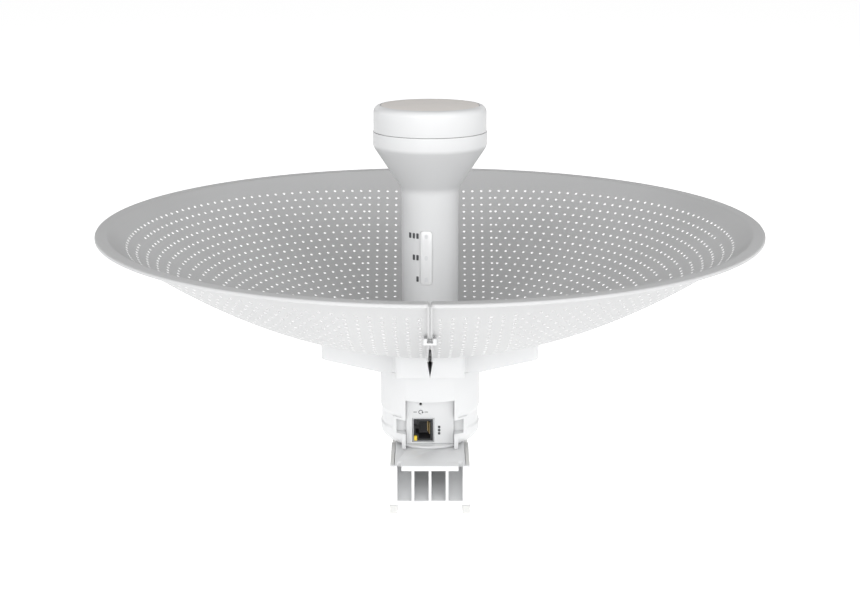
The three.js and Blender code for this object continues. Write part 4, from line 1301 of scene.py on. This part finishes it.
# ------------------------------------------------------------------ finishes and inner parts
INNER_PARTS = {
    "circuit_board": ["main_board", "feed_board"],
    "bare_metal": [
        "processor_shield", "heat_spreader", "radio_shield", "amplifier_shield", "driven_patch",
        "sub_reflector", "patch_post"],
    "screw_steel": [f"{kind}_screw_{i}" for kind in ("housing", "saddle") for i in range(1, 5)],
    "gold_contact": ["jack_contacts"],
    "black_plastic": [
        "reset_switch", "reset_button", "lan_transformer", "power_inductor", "bulk_capacitor",
        "stem_lock_nut", "jack_led_upper"],
    "seal_rubber": ["port_gasket", "stem_seal", "cap_seal"],
    "clear_lens": ["light_guide", "signal_led_1", "signal_led_2", "signal_led_3"],
    "amber_led": ["jack_led_lower"],
    "white_shell": ["head_spacer_1", "head_spacer_2", "head_spacer_3"],
}


class BRIDGE_OT_finishes(bpy.types.Operator):
    """Makes every finish and gives the carried-over inner parts theirs"""

    bl_idname = "bridge.finishes"
    bl_label = "Finishes"

    def execute(self, context):
        colors = settings().colors
        FINISHES.update({
            "white_shell": shell_finish("White shell", tuple(colors.shell)),
            "reflector_paint": coat_finish("Reflector powder coat", tuple(colors.reflector)),
            # Pale hole walls: painted light standing in for light seen through the holes.
            "hole_edge": coat_finish("Hole edge", tuple(colors.hole_edge)),
            "grey_inlay": matt_finish("Grey inlay", tuple(colors.inlay), 0.3 * MM, 0.008 * MM, 0.5),
            "grip_grey": matt_finish("Grip rubber", tuple(colors.grips)),
            "clear_lens": lens_finish("Milky lens", tuple(colors.lens)),
            "lamp_tint": lens_finish("Lamp lens", (0.68, 0.69, 0.7, 1)),
            "circuit_board": board_finish("Circuit board", (0.02, 0.11, 0.05, 1)),
            "bare_metal": metal_finish("Bare sheet", (0.62, 0.63, 0.64, 1)),
            "screw_steel": metal_finish("Plated steel", (0.55, 0.56, 0.57, 1), 0.22, (1, 1, 1)),
            "gold_contact": metal_finish("Gold flash", (0.72, 0.6, 0.36, 1), 0.24),
            "black_plastic": matt_finish(
                "Dark moulding", (0.016, 0.016, 0.018, 1), 0.4 * MM, 0.01 * MM, 0.45),
            "seal_rubber": matt_finish("Seal rubber", (0.03, 0.03, 0.033, 1)),
            "amber_led": lamp_finish("Port lamp", tuple(colors.lamp)),
            "printed_ink": matt_finish("Printed ink", tuple(colors.ink), 0.2 * MM, 0.004 * MM, 0.55),
        })
        for name, nodes in INNER_PARTS.items():
            for node in nodes:
                mesh_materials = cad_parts[node].data.materials
                mesh_materials.clear()
                mesh_materials.append(FINISHES[name])
        return {"FINISHED"}


# ------------------------------------------------------------------ stage
class BRIDGE_OT_studio(bpy.types.Operator):
    """Sets the floor, the soft lights and the camera"""

    bl_idname = "bridge.studio"
    bl_label = "Studio"

    def execute(self, context):
        studio = settings().studio
        scene = context.scene
        self.floor(studio)
        self.lights(scene, studio)
        self.camera(scene, studio)
        scene.view_settings.view_transform = "Standard"
        return {"FINISHED"}

    def floor(self, studio):
        half = 30.0
        drop = 0.2 * MM
        mesh = mesh_of(
            [(-half, -half, -drop), (half, -half, -drop), (half, half, -drop), (-half, half, -drop)],
            [(0, 1, 2, 3)])
        mesh.materials.append(floor_finish("Studio paper", studio.floor))
        linked(bpy.data.objects.new("studio_floor", mesh))

    def lights(self, scene, studio):
        world = bpy.data.worlds.new("Studio")
        scene.world = world
        world.use_nodes = True
        backdrop = world.node_tree.nodes["Background"]
        backdrop.inputs["Color"].default_value = (1, 1, 1, 1)
        backdrop.inputs["Strength"].default_value = studio.world
        aim = Vector((0, 0, VERTEX))
        for name, power, wide, tall, place in (
                ("front_light", studio.front, 4.4, 0.9, (0.1, -2.1, 0.6)),
                ("high_light", studio.high, 4.4, 0.9, (0.1, -1.7, 1.5)),
                ("right_light", studio.right, 3.6, 0.8, (2.1, 0, 0.65)),
                ("left_light", studio.left, 3.6, 0.8, (-2.1, 0, 0.65)),
                ("back_light", studio.back, 3.6, 0.8, (0, 2.1, 0.85))):
            light = bpy.data.lights.new(name, "AREA")
            light.shape = "ELLIPSE"
            light.size = wide
            light.size_y = tall
            light.energy = power
            lamp = linked(bpy.data.objects.new(name, light))
            lamp.location = place
            lamp.rotation_euler = (aim - lamp.location).to_track_quat("-Z", "Y").to_euler()

    def camera(self, scene, studio):
        camera = bpy.data.cameras.new("camera")
        camera.lens = studio.lens
        camera.sensor_width = 36
        camera.clip_end = 200
        view = linked(bpy.data.objects.new("camera", camera))
        view.location = (0, -studio.distance, VERTEX + studio.raise_by)
        view.rotation_euler = (math.pi / 2 - studio.pitch, 0, 0)
        scene.camera = view


# ------------------------------------------------------------------ panel and registration
STEPS = (
    BRIDGE_OT_finishes, BRIDGE_OT_studio, BRIDGE_OT_saddle, BRIDGE_OT_housing, BRIDGE_OT_port_bay,
    BRIDGE_OT_bracket, BRIDGE_OT_reflector, BRIDGE_OT_seam_clips, BRIDGE_OT_collar, BRIDGE_OT_stem,
    BRIDGE_OT_signal_strip, BRIDGE_OT_antenna_head,
)
GROUPS = (
    BridgeColors, BridgePerforation, BridgeSheet, BridgeSignal, BridgeStudio, BridgeSettings,
)


class BRIDGE_PT_steps(bpy.types.Panel):
    """Lists the steps that build the wireless bridge"""

    bl_idname = "BRIDGE_PT_steps"
    bl_label = "Wireless Bridge"
    bl_space_type = "VIEW_3D"
    bl_region_type = "UI"
    bl_category = "Wireless Bridge"

    def draw(self, context):
        for step in STEPS:
            self.layout.operator(step.bl_idname)


def register():
    for kind in (*GROUPS, *STEPS, BRIDGE_PT_steps):
        bpy.utils.register_class(kind)
    bpy.types.Scene.wireless_bridge = bpy.props.PointerProperty(
        type=BridgeSettings, name="Wireless Bridge", description="Sizes and colours of the wireless bridge")


def unregister():
    del bpy.types.Scene.wireless_bridge
    for kind in reversed((*GROUPS, *STEPS, BRIDGE_PT_steps)):
        bpy.utils.unregister_class(kind)


def main():
    register()
    for step in STEPS:
        group, name = step.bl_idname.split(".")
        getattr(getattr(bpy.ops, group), name)()


if __name__ == "__main__":
    main()
